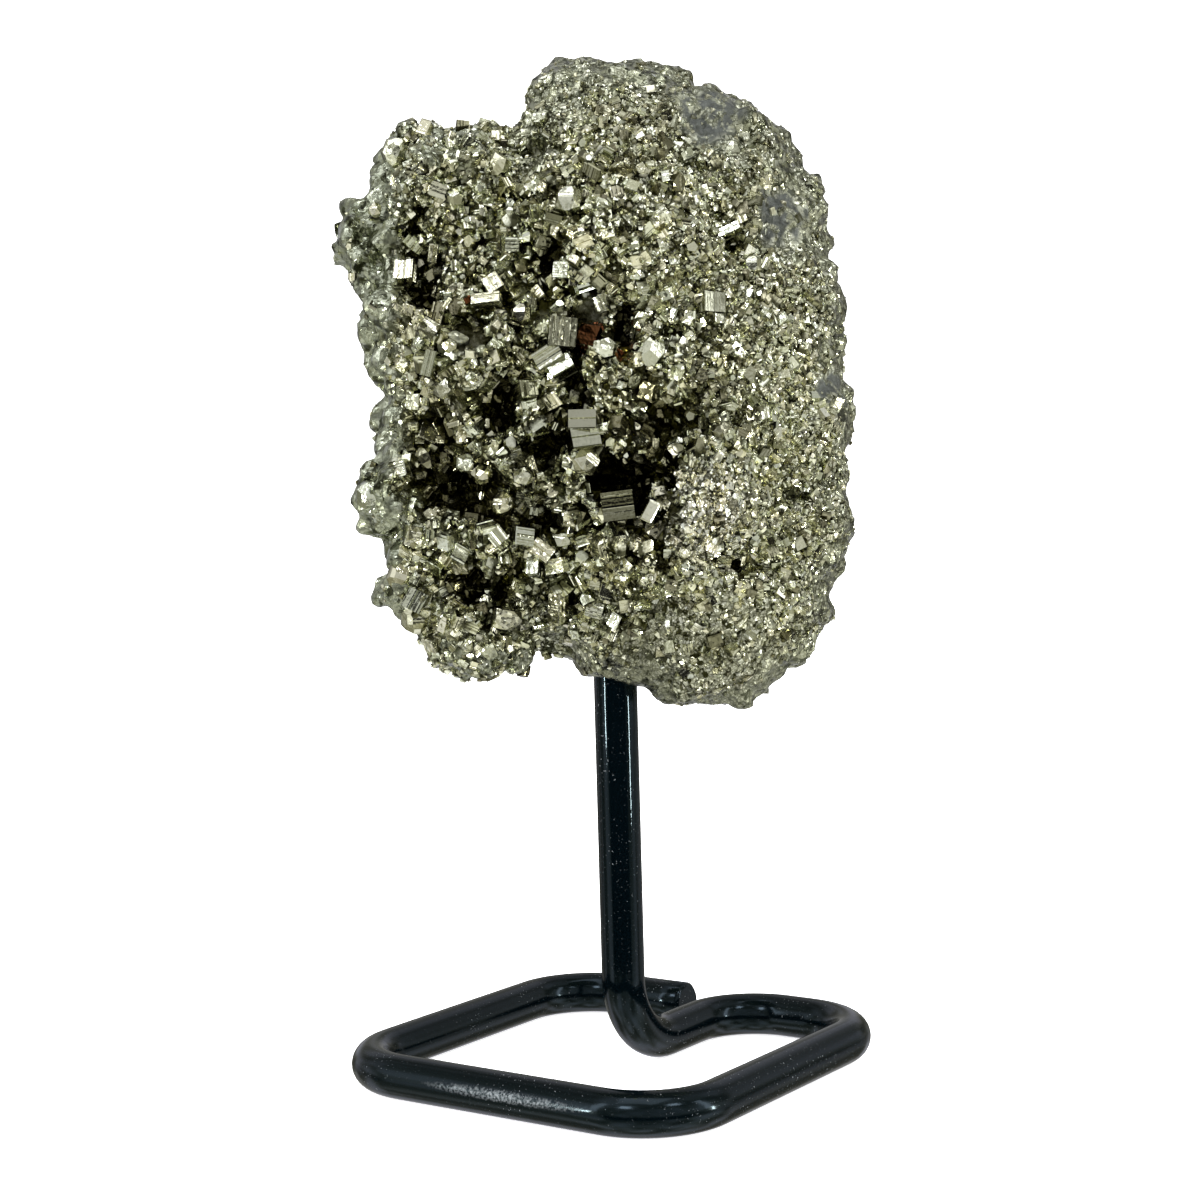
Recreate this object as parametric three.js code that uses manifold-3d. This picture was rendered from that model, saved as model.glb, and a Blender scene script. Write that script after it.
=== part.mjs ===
// A pyrite cluster on a bent-rod display stand. Millimetres, +Z up, the stand's feet on z = 0.
// The stand is one round steel rod: a post that drops to the middle of a square foot, a spoke that
// runs out to the middle of one side, and a loop round the square that stops short of the spoke.
// The cluster is one grown mass of pyrite, drilled from below to sit on the post.
import * as THREE from "three";
import { mergeVertices } from "three/addons/utils/BufferGeometryUtils.js";
import Module from "manifold-3d";

// ---- Driving dimensions ----
const ROD_RADIUS = 3;
const FOOT_SIDE = 54; // centre line to centre line
const FOOT_CORNER_RADIUS = 10.5; // centre line, as are the other bend radii
const POST_BEND_RADIUS = 10.5;
const SPOKE_BEND_RADIUS = 9.5;
const POST_X = 2.5; // the post stands a little off the middle of the foot
const POST_Y = -1;
const POST_TOP = 76;
const LOOP_END_X = -5; // where the loop's free end stops, on the spoke's side
const DRILL_CLEARANCE = 0.3; // between the post and the walls of its hole

const CLUSTER_TURN = THREE.MathUtils.degToRad(35); // its broad face, about the post
const CLUSTER_HEIGHT = 95; // of its middle, above the surface it stands on
const CLUSTER_SIDEWAYS = -1; // of its middle from the post, along its broad face
const CLUSTER_BACKWARDS = 1;

// ---- Resolution ----
const ROD_SIDES = 12;
const ROD_STEPS = 120;
const SKIN_DETAIL = 17; // the icosphere's subdivisions under the cluster's skin
const SKIN_SPREAD = new THREE.Vector3(34, 26, 43); // its rough half-widths, which even out the triangles

// The swellings of the cluster about its middle: x along the broad face, y away from the viewer
// of that face, z up, then the three half-widths.
const LOBES = [
  { name: "core", at: [2, 1, 0], half: [26, 20, 36] },
  { name: "right flank", at: [12, 2, -4], half: [21, 20, 34] },
  { name: "left flank", at: [-14, 0, -5], half: [16, 17, 32] },
  { name: "crown", at: [4, 2, 28], half: [15.5, 15, 17] },
  { name: "crown corner", at: [-3.3, 0, 36.3], half: [7.8, 8.5, 8.8] },
  { name: "crown slope", at: [14, 2, 32.5], half: [10, 11, 10] },
  { name: "right shoulder", at: [17, 3, 23], half: [14, 15, 15.5] },
  { name: "right knob", at: [25, 1, 21], half: [6.5, 7, 5.5] },
  { name: "right upper side", at: [24.5, 1, 9.5], half: [9.5, 14, 12.5] },
  { name: "right middle side", at: [25.5, 0, -8], half: [9, 13, 12] },
  { name: "right lower bulge", at: [27, -1, -19], half: [7.5, 11, 7.5] },
  { name: "right haunch", at: [18.5, 0, -26], half: [13, 15, 14.5] },
  { name: "right foot", at: [14, -2, -32.5], half: [11, 13, 11.5] },
  { name: "middle foot", at: [2, 1, -30], half: [11, 14, 10.5] },
  { name: "left foot", at: [-17.5, -3, -31.7], half: [8, 10, 7.8] },
  { name: "left haunch", at: [-23, -2, -22], half: [7, 11, 9] },
  { name: "left lower knob", at: [-26.5, -4, -27], half: [4.3, 5, 4.3] },
  { name: "left middle knob", at: [-28.5, -5, -13], half: [5, 6, 6] },
  { name: "left side", at: [-21.5, 0, -1], half: [8, 13, 8] },
  { name: "left upper side", at: [-25, -1, 11], half: [8, 11, 9] },
  { name: "left upper knob", at: [-30.8, -2, 20], half: [5.7, 7, 6.7] },
  { name: "left shoulder", at: [-21.5, -1, 26], half: [8.2, 12, 9.8] },
  { name: "left shoulder knob", at: [-25, -2, 31], half: [4.5, 5.5, 4.5] },
  { name: "left shelf", at: [-14, 0, 26.5], half: [9, 12, 10] },
  { name: "lower face", at: [11, -9, -16], half: [13, 12, 15] },
  { name: "upper face", at: [2, -8, 19], half: [16, 12, 14] },
  { name: "left face", at: [-15, -9, 5], half: [12, 11, 12] },
  { name: "back", at: [-3, 9, 4], half: [22, 15, 27] },
  { name: "lower back", at: [5, 8, -19], half: [18, 14, 17] },
];

// Open pockets between the crystals, in the same axes.
const VUGS = [
  { name: "long left vug", at: [-19, -19, -14], half: [8, 9, 3.8] },
  { name: "middle vug", at: [1.5, -23, -13], half: [3.4, 8, 5] },
  { name: "left upper vug", at: [-22, -15, 17], half: [4, 6, 4] },
  { name: "upper vug", at: [4.5, -22, 9], half: [4, 6, 3] },
  { name: "narrow vug", at: [-8, -21, -9], half: [2.8, 7, 4.5] },
  { name: "lower left vug", at: [-17, -15, -28], half: [5, 6, 2.6] },
  { name: "right vug", at: [19, -20, -24], half: [3, 5, 2.4] },
  { name: "back vug", at: [8, 24, 4], half: [5, 6, 4] },
];

const BLEND = 2.2; // how softly one lobe runs into the next
const VUG_BLEND = 0.8;
const GRAIN = 1.1; // how far clumps of crystals stand in or out of the skin
const GRAIN_SIZE = 4.5;
const GRAIN_HEIGHT = 0.3; // how far the skin lies over the lobes on average

// ---- Numbers ----
// A repeatable number from 0 to 1 for each point of a unit grid.
function gridNoise(i, j, k) {
  let h = (i * 374761393 + j * 668265263 + k * 2147483647) | 0;
  h = Math.imul(h ^ (h >>> 13), 1274126177);
  return ((h ^ (h >>> 16)) >>> 0) / 4294967296;
}

// Smooth noise from -1 to 1, with about one swelling a unit.
function noise(x, y, z) {
  const [i, j, k] = [Math.floor(x), Math.floor(y), Math.floor(z)];
  const ease = (t) => t * t * (3 - 2 * t);
  const [u, v, w] = [ease(x - i), ease(y - j), ease(z - k)];
  const mix = (a, b, t) => a + (b - a) * t;
  const edge = (dj, dk) => mix(gridNoise(i, j + dj, k + dk), gridNoise(i + 1, j + dj, k + dk), u);
  return 2 * mix(mix(edge(0, 0), edge(1, 0), v), mix(edge(0, 1), edge(1, 1), v), w) - 1;
}

const smoothMin = (a, b, k) => {
  const h = Math.max(k - Math.abs(a - b), 0) / k;
  return Math.min(a, b) - (h * h * k) / 4;
};

// ---- The cluster ----
// How far a point lies outside an ellipsoid, or minus how far inside.
function outside({ at, half }, p) {
  const [x, y, z] = [p.x - at[0], p.y - at[1], p.z - at[2]];
  const share = Math.hypot(x / half[0], y / half[1], z / half[2]);
  const slope = Math.hypot(x / half[0] ** 2, y / half[1] ** 2, z / half[2] ** 2);
  return slope < 1e-9 ? -Math.min(...half) : (share * (share - 1)) / slope;
}

// Negative inside the cluster and positive outside it.
function skin(p) {
  let d = Infinity;
  for (const lobe of LOBES) {
    d = d === Infinity ? outside(lobe, p) : smoothMin(d, outside(lobe, p), BLEND);
  }
  const [x, y, z] = [p.x / GRAIN_SIZE, p.y / GRAIN_SIZE, p.z / GRAIN_SIZE];
  d += GRAIN * (noise(x, y, z) + 0.5 * noise(2.3 * x, 2.3 * y, 2.3 * z)) - GRAIN_HEIGHT;
  for (const vug of VUGS) d = -smoothMin(-d, outside(vug, p), VUG_BLEND);
  return d;
}

// The distance from the middle, along a direction, at which the skin is last crossed.
function reach(direction) {
  const START = 60;
  const STRIDE = 0.4;
  const p = new THREE.Vector3();
  let far = START;
  while (far > 2 && skin(p.copy(direction).multiplyScalar(far)) > 0) far -= STRIDE;
  let [near, out] = [far, far + STRIDE];
  for (let n = 0; n < 12; n++) {
    const middle = (near + out) / 2;
    if (skin(p.copy(direction).multiplyScalar(middle)) > 0) out = middle;
    else near = middle;
  }
  return near;
}

function clusterSkin() {
  const sphere = bare(new THREE.IcosahedronGeometry(1, SKIN_DETAIL));
  const places = sphere.getAttribute("position");
  const direction = new THREE.Vector3();
  for (let n = 0; n < places.count; n++) {
    direction.fromBufferAttribute(places, n).multiply(SKIN_SPREAD).normalize();
    const p = direction.clone().multiplyScalar(reach(direction));
    places.setXYZ(n, p.x, p.y, p.z);
  }
  return sphere;
}

// ---- Solids ----
const wasm = await Module();
wasm.setup();

// Position alone, with shared vertices merged.
function bare(geometry) {
  const copy = geometry.clone();
  copy.deleteAttribute("normal");
  copy.deleteAttribute("uv");
  return mergeVertices(copy, 1e-4);
}

function toSolid(geometry) {
  const merged = bare(geometry);
  return new wasm.Manifold(
    new wasm.Mesh({
      numProp: 3,
      vertProperties: merged.getAttribute("position").array,
      triVerts: new Uint32Array(merged.index.array),
    }),
  );
}

function toGeometry(solid) {
  const mesh = solid.getMesh();
  const geometry = new THREE.BufferGeometry();
  geometry.setAttribute("position", new THREE.BufferAttribute(mesh.vertProperties, 3));
  geometry.setIndex(new THREE.BufferAttribute(mesh.triVerts, 1));
  geometry.computeVertexNormals();
  return geometry;
}

function buildCluster() {
  const material = new THREE.MeshStandardMaterial({
    color: 0x8f8a6d,
    roughness: 0.3,
    metalness: 1,
    flatShading: true,
  });
  const postX = -CLUSTER_SIDEWAYS;
  const postY = -CLUSTER_BACKWARDS;
  const holeRadius = ROD_RADIUS / Math.cos(Math.PI / ROD_SIDES) + DRILL_CLEARANCE;
  const holeTop = POST_TOP + DRILL_CLEARANCE - CLUSTER_HEIGHT;
  const holeDepth = 60; // from the hole's top to well under the cluster
  const hole = new THREE.CylinderGeometry(holeRadius, holeRadius, holeDepth, 24);
  hole.rotateX(Math.PI / 2);
  hole.translate(postX, postY, holeTop - holeDepth / 2);
  const drilled = toSolid(clusterSkin()).subtract(toSolid(hole));

  const cluster = new THREE.Mesh(toGeometry(drilled), material);
  cluster.name = "pyrite_cluster";
  const turned = new THREE.Group();
  turned.rotation.z = CLUSTER_TURN;
  turned.position.set(POST_X, POST_Y, CLUSTER_HEIGHT);
  cluster.position.set(CLUSTER_SIDEWAYS, CLUSTER_BACKWARDS, 0);
  turned.add(cluster);
  return turned;
}

// ---- The stand ----
// A quarter turn from one point to another round the corner where their tangents meet.
class CornerCurve extends THREE.Curve {
  constructor(start, corner, end) {
    super();
    this.start = start;
    this.corner = corner;
    this.centre = start.clone().add(end).sub(corner);
  }
  getPoint(t, target = new THREE.Vector3()) {
    const angle = (t * Math.PI) / 2;
    const out = this.start.clone().sub(this.centre);
    const along = this.corner.clone().sub(this.start);
    return target
      .copy(this.centre)
      .addScaledVector(out, Math.cos(angle))
      .addScaledVector(along, Math.sin(angle));
  }
}

// A run of straight lines whose square corners are rounded, each by its own radius.
function bentPath(points, radii) {
  const path = new THREE.CurvePath();
  let from = points[0];
  radii.forEach((radius, n) => {
    const corner = points[n + 1];
    const before = from.clone().sub(corner).setLength(radius).add(corner);
    const after = points[n + 2].clone().sub(corner).setLength(radius).add(corner);
    path.add(new THREE.LineCurve3(from, before));
    path.add(new CornerCurve(before, corner, after));
    from = after;
  });
  path.add(new THREE.LineCurve3(from, points.at(-1)));
  return path;
}

function rodPath() {
  const half = FOOT_SIDE / 2;
  const at = (x, y, z = ROD_RADIUS) => new THREE.Vector3(x, y, z);
  const points = [
    at(POST_X, POST_Y, POST_TOP),
    at(POST_X, POST_Y),
    at(POST_X, half),
    at(half, half),
    at(half, -half),
    at(-half, -half),
    at(-half, half),
    at(LOOP_END_X, half),
  ];
  const corner = FOOT_CORNER_RADIUS;
  return bentPath(points, [POST_BEND_RADIUS, SPOKE_BEND_RADIUS, corner, corner, corner, corner]);
}

// A polygon with a flat underneath, so that the foot rests on flats.
function rodSection() {
  const corner = ROD_RADIUS / Math.cos(Math.PI / ROD_SIDES);
  const points = Array.from({ length: ROD_SIDES }, (_, n) => {
    const angle = ((n + 0.5) * 2 * Math.PI) / ROD_SIDES;
    return new THREE.Vector2(corner * Math.cos(angle), corner * Math.sin(angle));
  });
  return new THREE.Shape(points);
}

function buildRod() {
  const geometry = new THREE.ExtrudeGeometry(rodSection(), {
    extrudePath: rodPath(),
    steps: ROD_STEPS,
    bevelEnabled: false,
  });
  const material = new THREE.MeshStandardMaterial({ color: 0x0b0d0f, roughness: 0.25, metalness: 0 });
  const rod = new THREE.Mesh(geometry, material);
  rod.name = "stand_rod";
  return rod;
}

const specimen = new THREE.Group();
specimen.add(buildRod(), buildCluster());
// The origin lies under the middle of the whole specimen, on the surface that it stands on.
const middle = new THREE.Box3().setFromObject(specimen, true).getCenter(new THREE.Vector3());
specimen.position.set(-middle.x, -middle.y, 0);

export default specimen;
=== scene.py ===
"""The finished look of a pyrite cluster on its bent-rod stand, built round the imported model.

The file is laid out as an add-on. Its operators sweep the painted rod, shape the rock under the crystals,
grow the crystals on it and set up the stage. Lengths in the settings are metres. The cluster is worked out
in millimetres in its own axes: x along its broad face, y away from the viewer of that face, z up.
"""

import itertools
import math
from typing import NamedTuple

import bpy
import numpy as np
from mathutils import Matrix, Vector
from mathutils.bvhtree import BVHTree


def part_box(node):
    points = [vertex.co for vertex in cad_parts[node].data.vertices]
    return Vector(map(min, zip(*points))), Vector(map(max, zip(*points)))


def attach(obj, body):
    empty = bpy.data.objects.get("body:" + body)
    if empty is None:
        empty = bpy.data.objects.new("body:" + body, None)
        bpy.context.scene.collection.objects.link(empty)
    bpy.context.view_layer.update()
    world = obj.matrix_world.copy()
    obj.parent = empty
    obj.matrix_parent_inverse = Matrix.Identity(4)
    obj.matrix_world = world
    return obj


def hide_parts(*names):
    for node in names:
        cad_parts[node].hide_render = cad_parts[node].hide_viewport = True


bl_info = {
    "name": "Pyrite specimen",
    "version": (1, 0, 0),
    "blender": (4, 5, 0),
    "location": "3D View > Sidebar > Pyrite",
    "description": "Grows a pyrite cluster on its bent-rod stand, round the packed model",
    "category": "Add Mesh",
}

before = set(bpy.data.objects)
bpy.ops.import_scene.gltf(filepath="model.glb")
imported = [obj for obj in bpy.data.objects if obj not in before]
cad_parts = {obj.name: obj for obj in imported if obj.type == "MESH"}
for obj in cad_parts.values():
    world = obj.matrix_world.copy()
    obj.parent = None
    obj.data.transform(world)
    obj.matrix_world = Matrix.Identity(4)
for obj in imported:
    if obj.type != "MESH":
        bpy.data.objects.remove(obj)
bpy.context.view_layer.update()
STAND_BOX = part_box("stand_rod")

MM = 0.001
FOOT_CENTRE = (STAND_BOX[0] + STAND_BOX[1]) / 2
POST_X = 2.5 * MM  # the post from the foot's middle
POST_Y = -1.0 * MM
POST_AT = Vector((FOOT_CENTRE.x + POST_X, FOOT_CENTRE.y + POST_Y, 0))
POST_TOP = STAND_BOX[1].z

# ---- The cluster's own axes ----
CLUSTER_TURN = math.radians(35)
CLUSTER_FROM_POST = np.array([-1.0, 1.0, 0.0])  # its middle from the post, in its own axes
CLUSTER_HEIGHT = 95.0
TURN = np.array(
    [
        [math.cos(CLUSTER_TURN), -math.sin(CLUSTER_TURN), 0],
        [math.sin(CLUSTER_TURN), math.cos(CLUSTER_TURN), 0],
        [0, 0, 1],
    ]
)
CLUSTER_AT = np.array([POST_AT.x / MM, POST_AT.y / MM, CLUSTER_HEIGHT]) + TURN @ CLUSTER_FROM_POST


def to_cluster(points):
    """Points of the row, in metres, in the cluster's axes and millimetres."""
    return (np.asarray(points) / MM - CLUSTER_AT) @ TURN


def to_row(points):
    """Points in the cluster's axes, in millimetres, in the row's frame and metres."""
    return (np.asarray(points) @ TURN.T + CLUSTER_AT) * MM


def from_post(points):
    """How far points lie from the post's middle line, and endlessly far above its end."""
    gap = np.hypot(points[:, 0] + CLUSTER_FROM_POST[0], points[:, 1] + CLUSTER_FROM_POST[1])
    return np.where(points[:, 2] < POST_TOP / MM - CLUSTER_HEIGHT + 2, gap, np.inf)


# ---- Repeatable numbers ----
HASH_FACTORS = (73856093, 19349663, 83492791)  # large primes, so that neighbouring cells differ
CHANNEL_FACTOR = 7919
CHANNEL_START = 101
HASH_MIX = 0x45D9F3B
LOW_BITS = 2**32 - 1
GRID_SHIFT = 1000.0  # keeps the cells' numbers above zero
SHARE_OF = 9  # added to a channel for one more number for each of its cells
TILT_OF = 10  # added to a channel for the way each of its cells leans


class Channel:
    """Numbers that tell one use of the repeatable noise from another."""

    BACK_CRUST = 5
    CRUST_EDGE = 6
    RIM = 7
    FOOT = 8
    BROW = 9
    AROUND = 10
    CLUMP = 20
    KNOT = 30
    OPEN_GROUND = 40
    RIPPLE = 50
    JITTER = 55
    RUGGED = 56
    MATRIX = 60
    GLITTER = 61
    STAIN = 70
    GROWN_TOGETHER = 80
    GROWN_TURN = 90
    POCKET = 110
    POCKET_WIDTH = 120
    POCKET_DEPTH = 121
    RUBBLE = 140
    CHIP = 160
    CHIP_SHARE = 170


def smoothstep(low, high, x):
    """0 at low, 1 at high, and an even ease between. Low may be the larger of the two."""
    t = np.clip((x - low) / (high - low), 0, 1)
    return t * t * (3 - 2 * t)


def hashed(cells, channel):
    """A number from 0 to 1 for each whole-number cell, the same in every run."""
    c = cells.astype(np.int64) * HASH_FACTORS
    h = c[..., 0] ^ c[..., 1] ^ c[..., 2] ^ (channel * CHANNEL_FACTOR + CHANNEL_START)
    h &= LOW_BITS
    for _ in range(2):
        h = ((h ^ (h >> 16)) * HASH_MIX) & LOW_BITS
    return (h ^ (h >> 16)) / (LOW_BITS + 1)


def noise(points, size, channel):
    """Smooth noise from -1 to 1 with swellings about size across."""
    p = points / size + GRID_SHIFT
    cell = np.floor(p).astype(np.int64)
    t = p - cell
    t = t * t * (3 - 2 * t)
    total = np.zeros(len(points))
    for corner in itertools.product((0, 1), repeat=3):
        share = np.prod(np.where(corner, t, 1 - t), axis=1)
        total += share * hashed(cell + np.array(corner), channel)
    return 2 * total - 1


def grains(points, size, channel):
    """The grain each point is in, round the nearest of a set of scattered seeds: the gap to the grain's
    wall, the cell that holds its seed, and the way from the seed."""
    p = points / size + GRID_SHIFT
    cell = np.floor(p).astype(np.int64)
    first = np.full(len(points), np.inf)
    second = np.full(len(points), np.inf)
    owner = np.zeros((len(points), 3), np.int64)
    offset = np.zeros((len(points), 3))
    for step in itertools.product((-1, 0, 1), repeat=3):
        other = cell + np.array(step)
        away = p - other - np.stack([hashed(other, channel + k) for k in range(3)], axis=1)
        d = np.linalg.norm(away, axis=1)
        nearer = d < first
        second = np.where(nearer, first, np.minimum(second, d))
        first = np.where(nearer, d, first)
        owner[nearer] = other[nearer]
        offset[nearer] = away[nearer]
    return (second - first) * size, owner, offset * size


def turns(quaternions):
    """Rotation matrices of an array of unit quaternions."""
    w, x, y, z = quaternions.T
    rows = [
        [1 - 2 * (y * y + z * z), 2 * (x * y - z * w), 2 * (x * z + y * w)],
        [2 * (x * y + z * w), 1 - 2 * (x * x + z * z), 2 * (y * z - x * w)],
        [2 * (x * z - y * w), 2 * (y * z + x * w), 1 - 2 * (x * x + y * y)],
    ]
    return np.moveaxis(np.array(rows), 2, 0)


def unit(vectors):
    """The vectors at a length of 1."""
    return vectors / np.maximum(np.linalg.norm(vectors, axis=-1, keepdims=True), 1e-12)


def random_turns(random, count):
    """Turns to any way at all, each as likely as the next."""
    return turns(unit(random.normal(size=(count, 4))))


def small_turns(random, count, spread):
    """Turns about random axes by about spread radians."""
    q = random.normal(size=(count, 4)) * spread / 2
    q[:, 0] = 1
    return turns(unit(q))


# ---- Meshes ----
def new_object(name, mesh, material):
    """Puts a mesh in the scene with its one material."""
    thing = bpy.data.objects.new(name, mesh)
    bpy.context.scene.collection.objects.link(thing)
    mesh.materials.append(material)
    return thing


def mesh_from(name, corners, loops, face_sizes):
    """A mesh from corners in metres, the corners of its faces in one list, and how many each face has."""
    mesh = bpy.data.meshes.new(name)
    mesh.vertices.add(len(corners))
    mesh.vertices.foreach_set("co", np.asarray(corners, np.float32).ravel())
    mesh.loops.add(len(loops))
    mesh.loops.foreach_set("vertex_index", np.asarray(loops, np.int32))
    mesh.polygons.add(len(face_sizes))
    starts = np.concatenate([[0], np.cumsum(face_sizes)[:-1]])
    mesh.polygons.foreach_set("loop_start", starts.astype(np.int32))
    mesh.update(calc_edges=True)
    mesh.shade_flat()
    return mesh


def corners_of(mesh):
    """The mesh's corners, in the row's frame and metres."""
    flat = np.empty(len(mesh.vertices) * 3, np.float32)
    mesh.vertices.foreach_get("co", flat)
    return flat.reshape(-1, 3).astype(float)


def normals_of(mesh):
    """The corners' normals, in the cluster's axes."""
    flat = np.empty(len(mesh.vertices) * 3, np.float32)
    mesh.vertex_normals.foreach_get("vector", flat)
    return flat.reshape(-1, 3).astype(float) @ TURN


def move(mesh, places):
    """Puts the mesh's corners at places given in the cluster's axes."""
    mesh.vertices.foreach_set("co", to_row(places).astype(np.float32).ravel())
    mesh.update()


def note(mesh, name, values, domain="POINT"):
    """Keeps a number or a triple for each point or face corner of a mesh, which its finish reads."""
    kind, field = ("FLOAT", "value") if values.ndim == 1 else ("FLOAT_VECTOR", "vector")
    kept = mesh.attributes.new(name, kind, domain)
    kept.data.foreach_set(field, values.astype(np.float32).ravel())


def remeshed(mesh, pitch, rounds):
    """The same solid with even faces about pitch metres across, smoothed over that many rounds."""
    thing = bpy.data.objects.new("remesh", mesh)
    bpy.context.scene.collection.objects.link(thing)
    remesh = thing.modifiers.new("even faces", "REMESH")
    remesh.mode = "VOXEL"
    remesh.voxel_size = pitch
    remesh.adaptivity = 0
    smooth = thing.modifiers.new("smooth", "SMOOTH")
    smooth.factor = 0.5
    smooth.iterations = rounds
    finished = thing.evaluated_get(bpy.context.evaluated_depsgraph_get())
    even = bpy.data.meshes.new_from_object(finished)
    bpy.data.objects.remove(thing)
    return even


def packed_tree(corners):
    """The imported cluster's faces as a tree to search, with its corners as given."""
    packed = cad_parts["pyrite_cluster"].data
    packed.calc_loop_triangles()
    triangles = [tuple(triangle.vertices) for triangle in packed.loop_triangles]
    return BVHTree.FromPolygons(corners.tolist(), triangles)


# ---- Shader nodes ----
class Nodes:
    """A tree of shader nodes with short ways to add to it. Every input may be a socket or a value."""

    def __init__(self, tree):
        self.tree = tree

    def add(self, kind, inputs=None, **settings):
        node = self.tree.nodes.new("ShaderNode" + kind)
        for key, value in settings.items():
            setattr(node, key, value)
        for key, value in (inputs or {}).items():
            self.put(node.inputs[key], value)
        return node

    def put(self, socket, value):
        if isinstance(value, bpy.types.NodeSocket):
            self.tree.links.new(value, socket)
        elif isinstance(value, (tuple, list)) and len(value) == 3 and socket.type == "RGBA":
            socket.default_value = (*value, 1)
        else:
            socket.default_value = value

    def math(self, operation, a, b=0.0, c=0.0):
        return self.add("Math", {0: a, 1: b, 2: c}, operation=operation).outputs[0]

    def times(self, a, b):
        return self.math("MULTIPLY", a, b)

    def larger(self, a, b):
        return self.math("MAXIMUM", a, b)

    def scrambled(self, value, factor):
        """A number from 0 to 1 that changes factor times as fast as value."""
        return self.math("FRACT", self.times(value, factor))

    def mix(self, share, a, b):
        node = self.add("Mix", {"Factor": share}, data_type="RGBA")
        self.put(node.inputs[6], a)
        self.put(node.inputs[7], b)
        return node.outputs[2]

    def vector(self, operation, a, b=(0.0, 0.0, 0.0)):
        return self.add("VectorMath", {0: a, 1: b}, operation=operation).outputs[0]

    def parts(self, vector):
        return self.add("SeparateXYZ", {0: vector}).outputs

    def ramp(self, value, low, high, to_low=0.0, to_high=1.0):
        inputs = {"Value": value, "From Min": low, "From Max": high, "To Min": to_low, "To Max": to_high}
        return self.add("MapRange", inputs).outputs["Result"]

    def attribute(self, name):
        return self.add("Attribute", attribute_name=name).outputs

    def place(self):
        return self.add("TexCoord").outputs["Object"]

    def noise(self, size, detail=2.0):
        """Noise whose swellings are about size metres across."""
        inputs = {"Vector": self.place(), "Scale": 1 / size, "Detail": detail}
        return self.add("TexNoise", inputs).outputs["Fac"]

    def bump(self, strength, distance, height, **normal):
        inputs = {"Strength": strength, "Distance": distance, "Height": height, **normal}
        return self.add("Bump", inputs).outputs[0]


class Finish(Nodes):
    """A material, whose surface is one Principled shader."""

    def __init__(self, name):
        self.material = bpy.data.materials.new(name)
        self.material.use_nodes = True
        super().__init__(self.material.node_tree)
        self.surface = self.tree.nodes["Principled BSDF"]

    def set(self, **values):
        """Gives the shader's inputs their values, with _ for a space in a name."""
        for key, value in values.items():
            self.put(self.surface.inputs[key.replace("_", " ")], value)


# ---- Settings ----
class StandSettings(bpy.types.PropertyGroup):
    rod_radius: bpy.props.FloatProperty(
        name="Rod radius", description="Half the rod's thickness", default=3 * MM, unit="LENGTH"
    )
    corner_bend: bpy.props.FloatProperty(
        name="Corner bend", description="Bend radius of the foot's corners, at the rod's middle",
        default=10.5 * MM, unit="LENGTH",
    )
    post_bend: bpy.props.FloatProperty(
        name="Post bend", description="Bend radius under the post", default=10.5 * MM, unit="LENGTH"
    )
    spoke_bend: bpy.props.FloatProperty(
        name="Spoke bend", description="Bend radius where the spoke joins the loop",
        default=9.5 * MM, unit="LENGTH",
    )
    loop_end: bpy.props.FloatProperty(
        name="Loop end", description="Where the free end stops, from the middle of its side",
        default=-5 * MM, unit="LENGTH",
    )
    paint: bpy.props.FloatVectorProperty(
        name="Paint", description="Colour of the gloss paint", subtype="COLOR",
        default=(0.0003, 0.0011, 0.0016),
    )


class RockSettings(bpy.types.PropertyGroup):
    pitch: bpy.props.FloatProperty(
        name="Pitch", description="Size of the rock's faces", default=0.6 * MM, unit="LENGTH"
    )
    inset: bpy.props.FloatProperty(
        name="Inset", description="How far the rock lies under the crystals' tips, in millimetres",
        default=0.9,
    )
    clump: bpy.props.FloatProperty(
        name="Clump", description="Size of the clumps of crystals, in millimetres", default=5.0
    )


class CrystalSettings(bpy.types.PropertyGroup):
    seed: bpy.props.IntProperty(name="Seed", description="Picks one growth of the crystals", default=7)
    density: bpy.props.FloatProperty(
        name="Density", description="Share of the usual number of crystals", default=1.0, subtype="FACTOR"
    )
    brass: bpy.props.FloatVectorProperty(
        name="Brass", description="Colour of bright crystal faces", subtype="COLOR",
        default=(0.72, 0.72, 0.545),
    )
    tarnish: bpy.props.FloatVectorProperty(
        name="Tarnish", description="Colour of duller crystal faces", subtype="COLOR",
        default=(0.51, 0.515, 0.315),
    )


class StageSettings(bpy.types.PropertyGroup):
    floor_colour: bpy.props.FloatVectorProperty(
        name="Floor", description="Colour of the floor", subtype="COLOR", default=(0.95, 0.95, 0.95)
    )
    lens: bpy.props.FloatProperty(
        name="Lens", description="Focal length on a 36 mm sensor, in millimetres", default=69.15
    )


# ---- The stand ----
STRAIGHT_STEP = 4 * MM
BEND_STEPS = 16
ROD_SIDES = 40
END_CHAMFER = 0.5 * MM

# The scuffed stretch of the foot's front side, whose pale specks are partly a painted highlight: its place
# along it, its height, and how far it reaches
SCUFF_ALONG = 3.0 * MM
SCUFF_HEIGHT = 3.7 * MM
SCUFF_REACH = (14 * MM, 3 * MM, 0.85 * MM)
# pale dust colour, which also paints the speckled highlight of the scuffed stretch
DUST_AND_GLINT = (0.19, 0.205, 0.205)
WORN_UP_TO = 10 * MM  # dull with handling below this height, and glossy above the next
GLOSSY_FROM = 16 * MM


def straight(start, end):
    """Points on the line from start to end, both included."""
    count = max(1, round((end - start).length / STRAIGHT_STEP))
    return [start.lerp(end, n / count) for n in range(count + 1)]


def quarter_turn(start, corner, end):
    """Points on the arc from start to end that touches the two lines meeting at corner."""
    centre = start + end - corner
    points = []
    for n in range(BEND_STEPS + 1):
        angle = math.pi / 2 * n / BEND_STEPS
        points.append(centre + (start - centre) * math.cos(angle) + (corner - start) * math.sin(angle))
    return points


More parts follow.
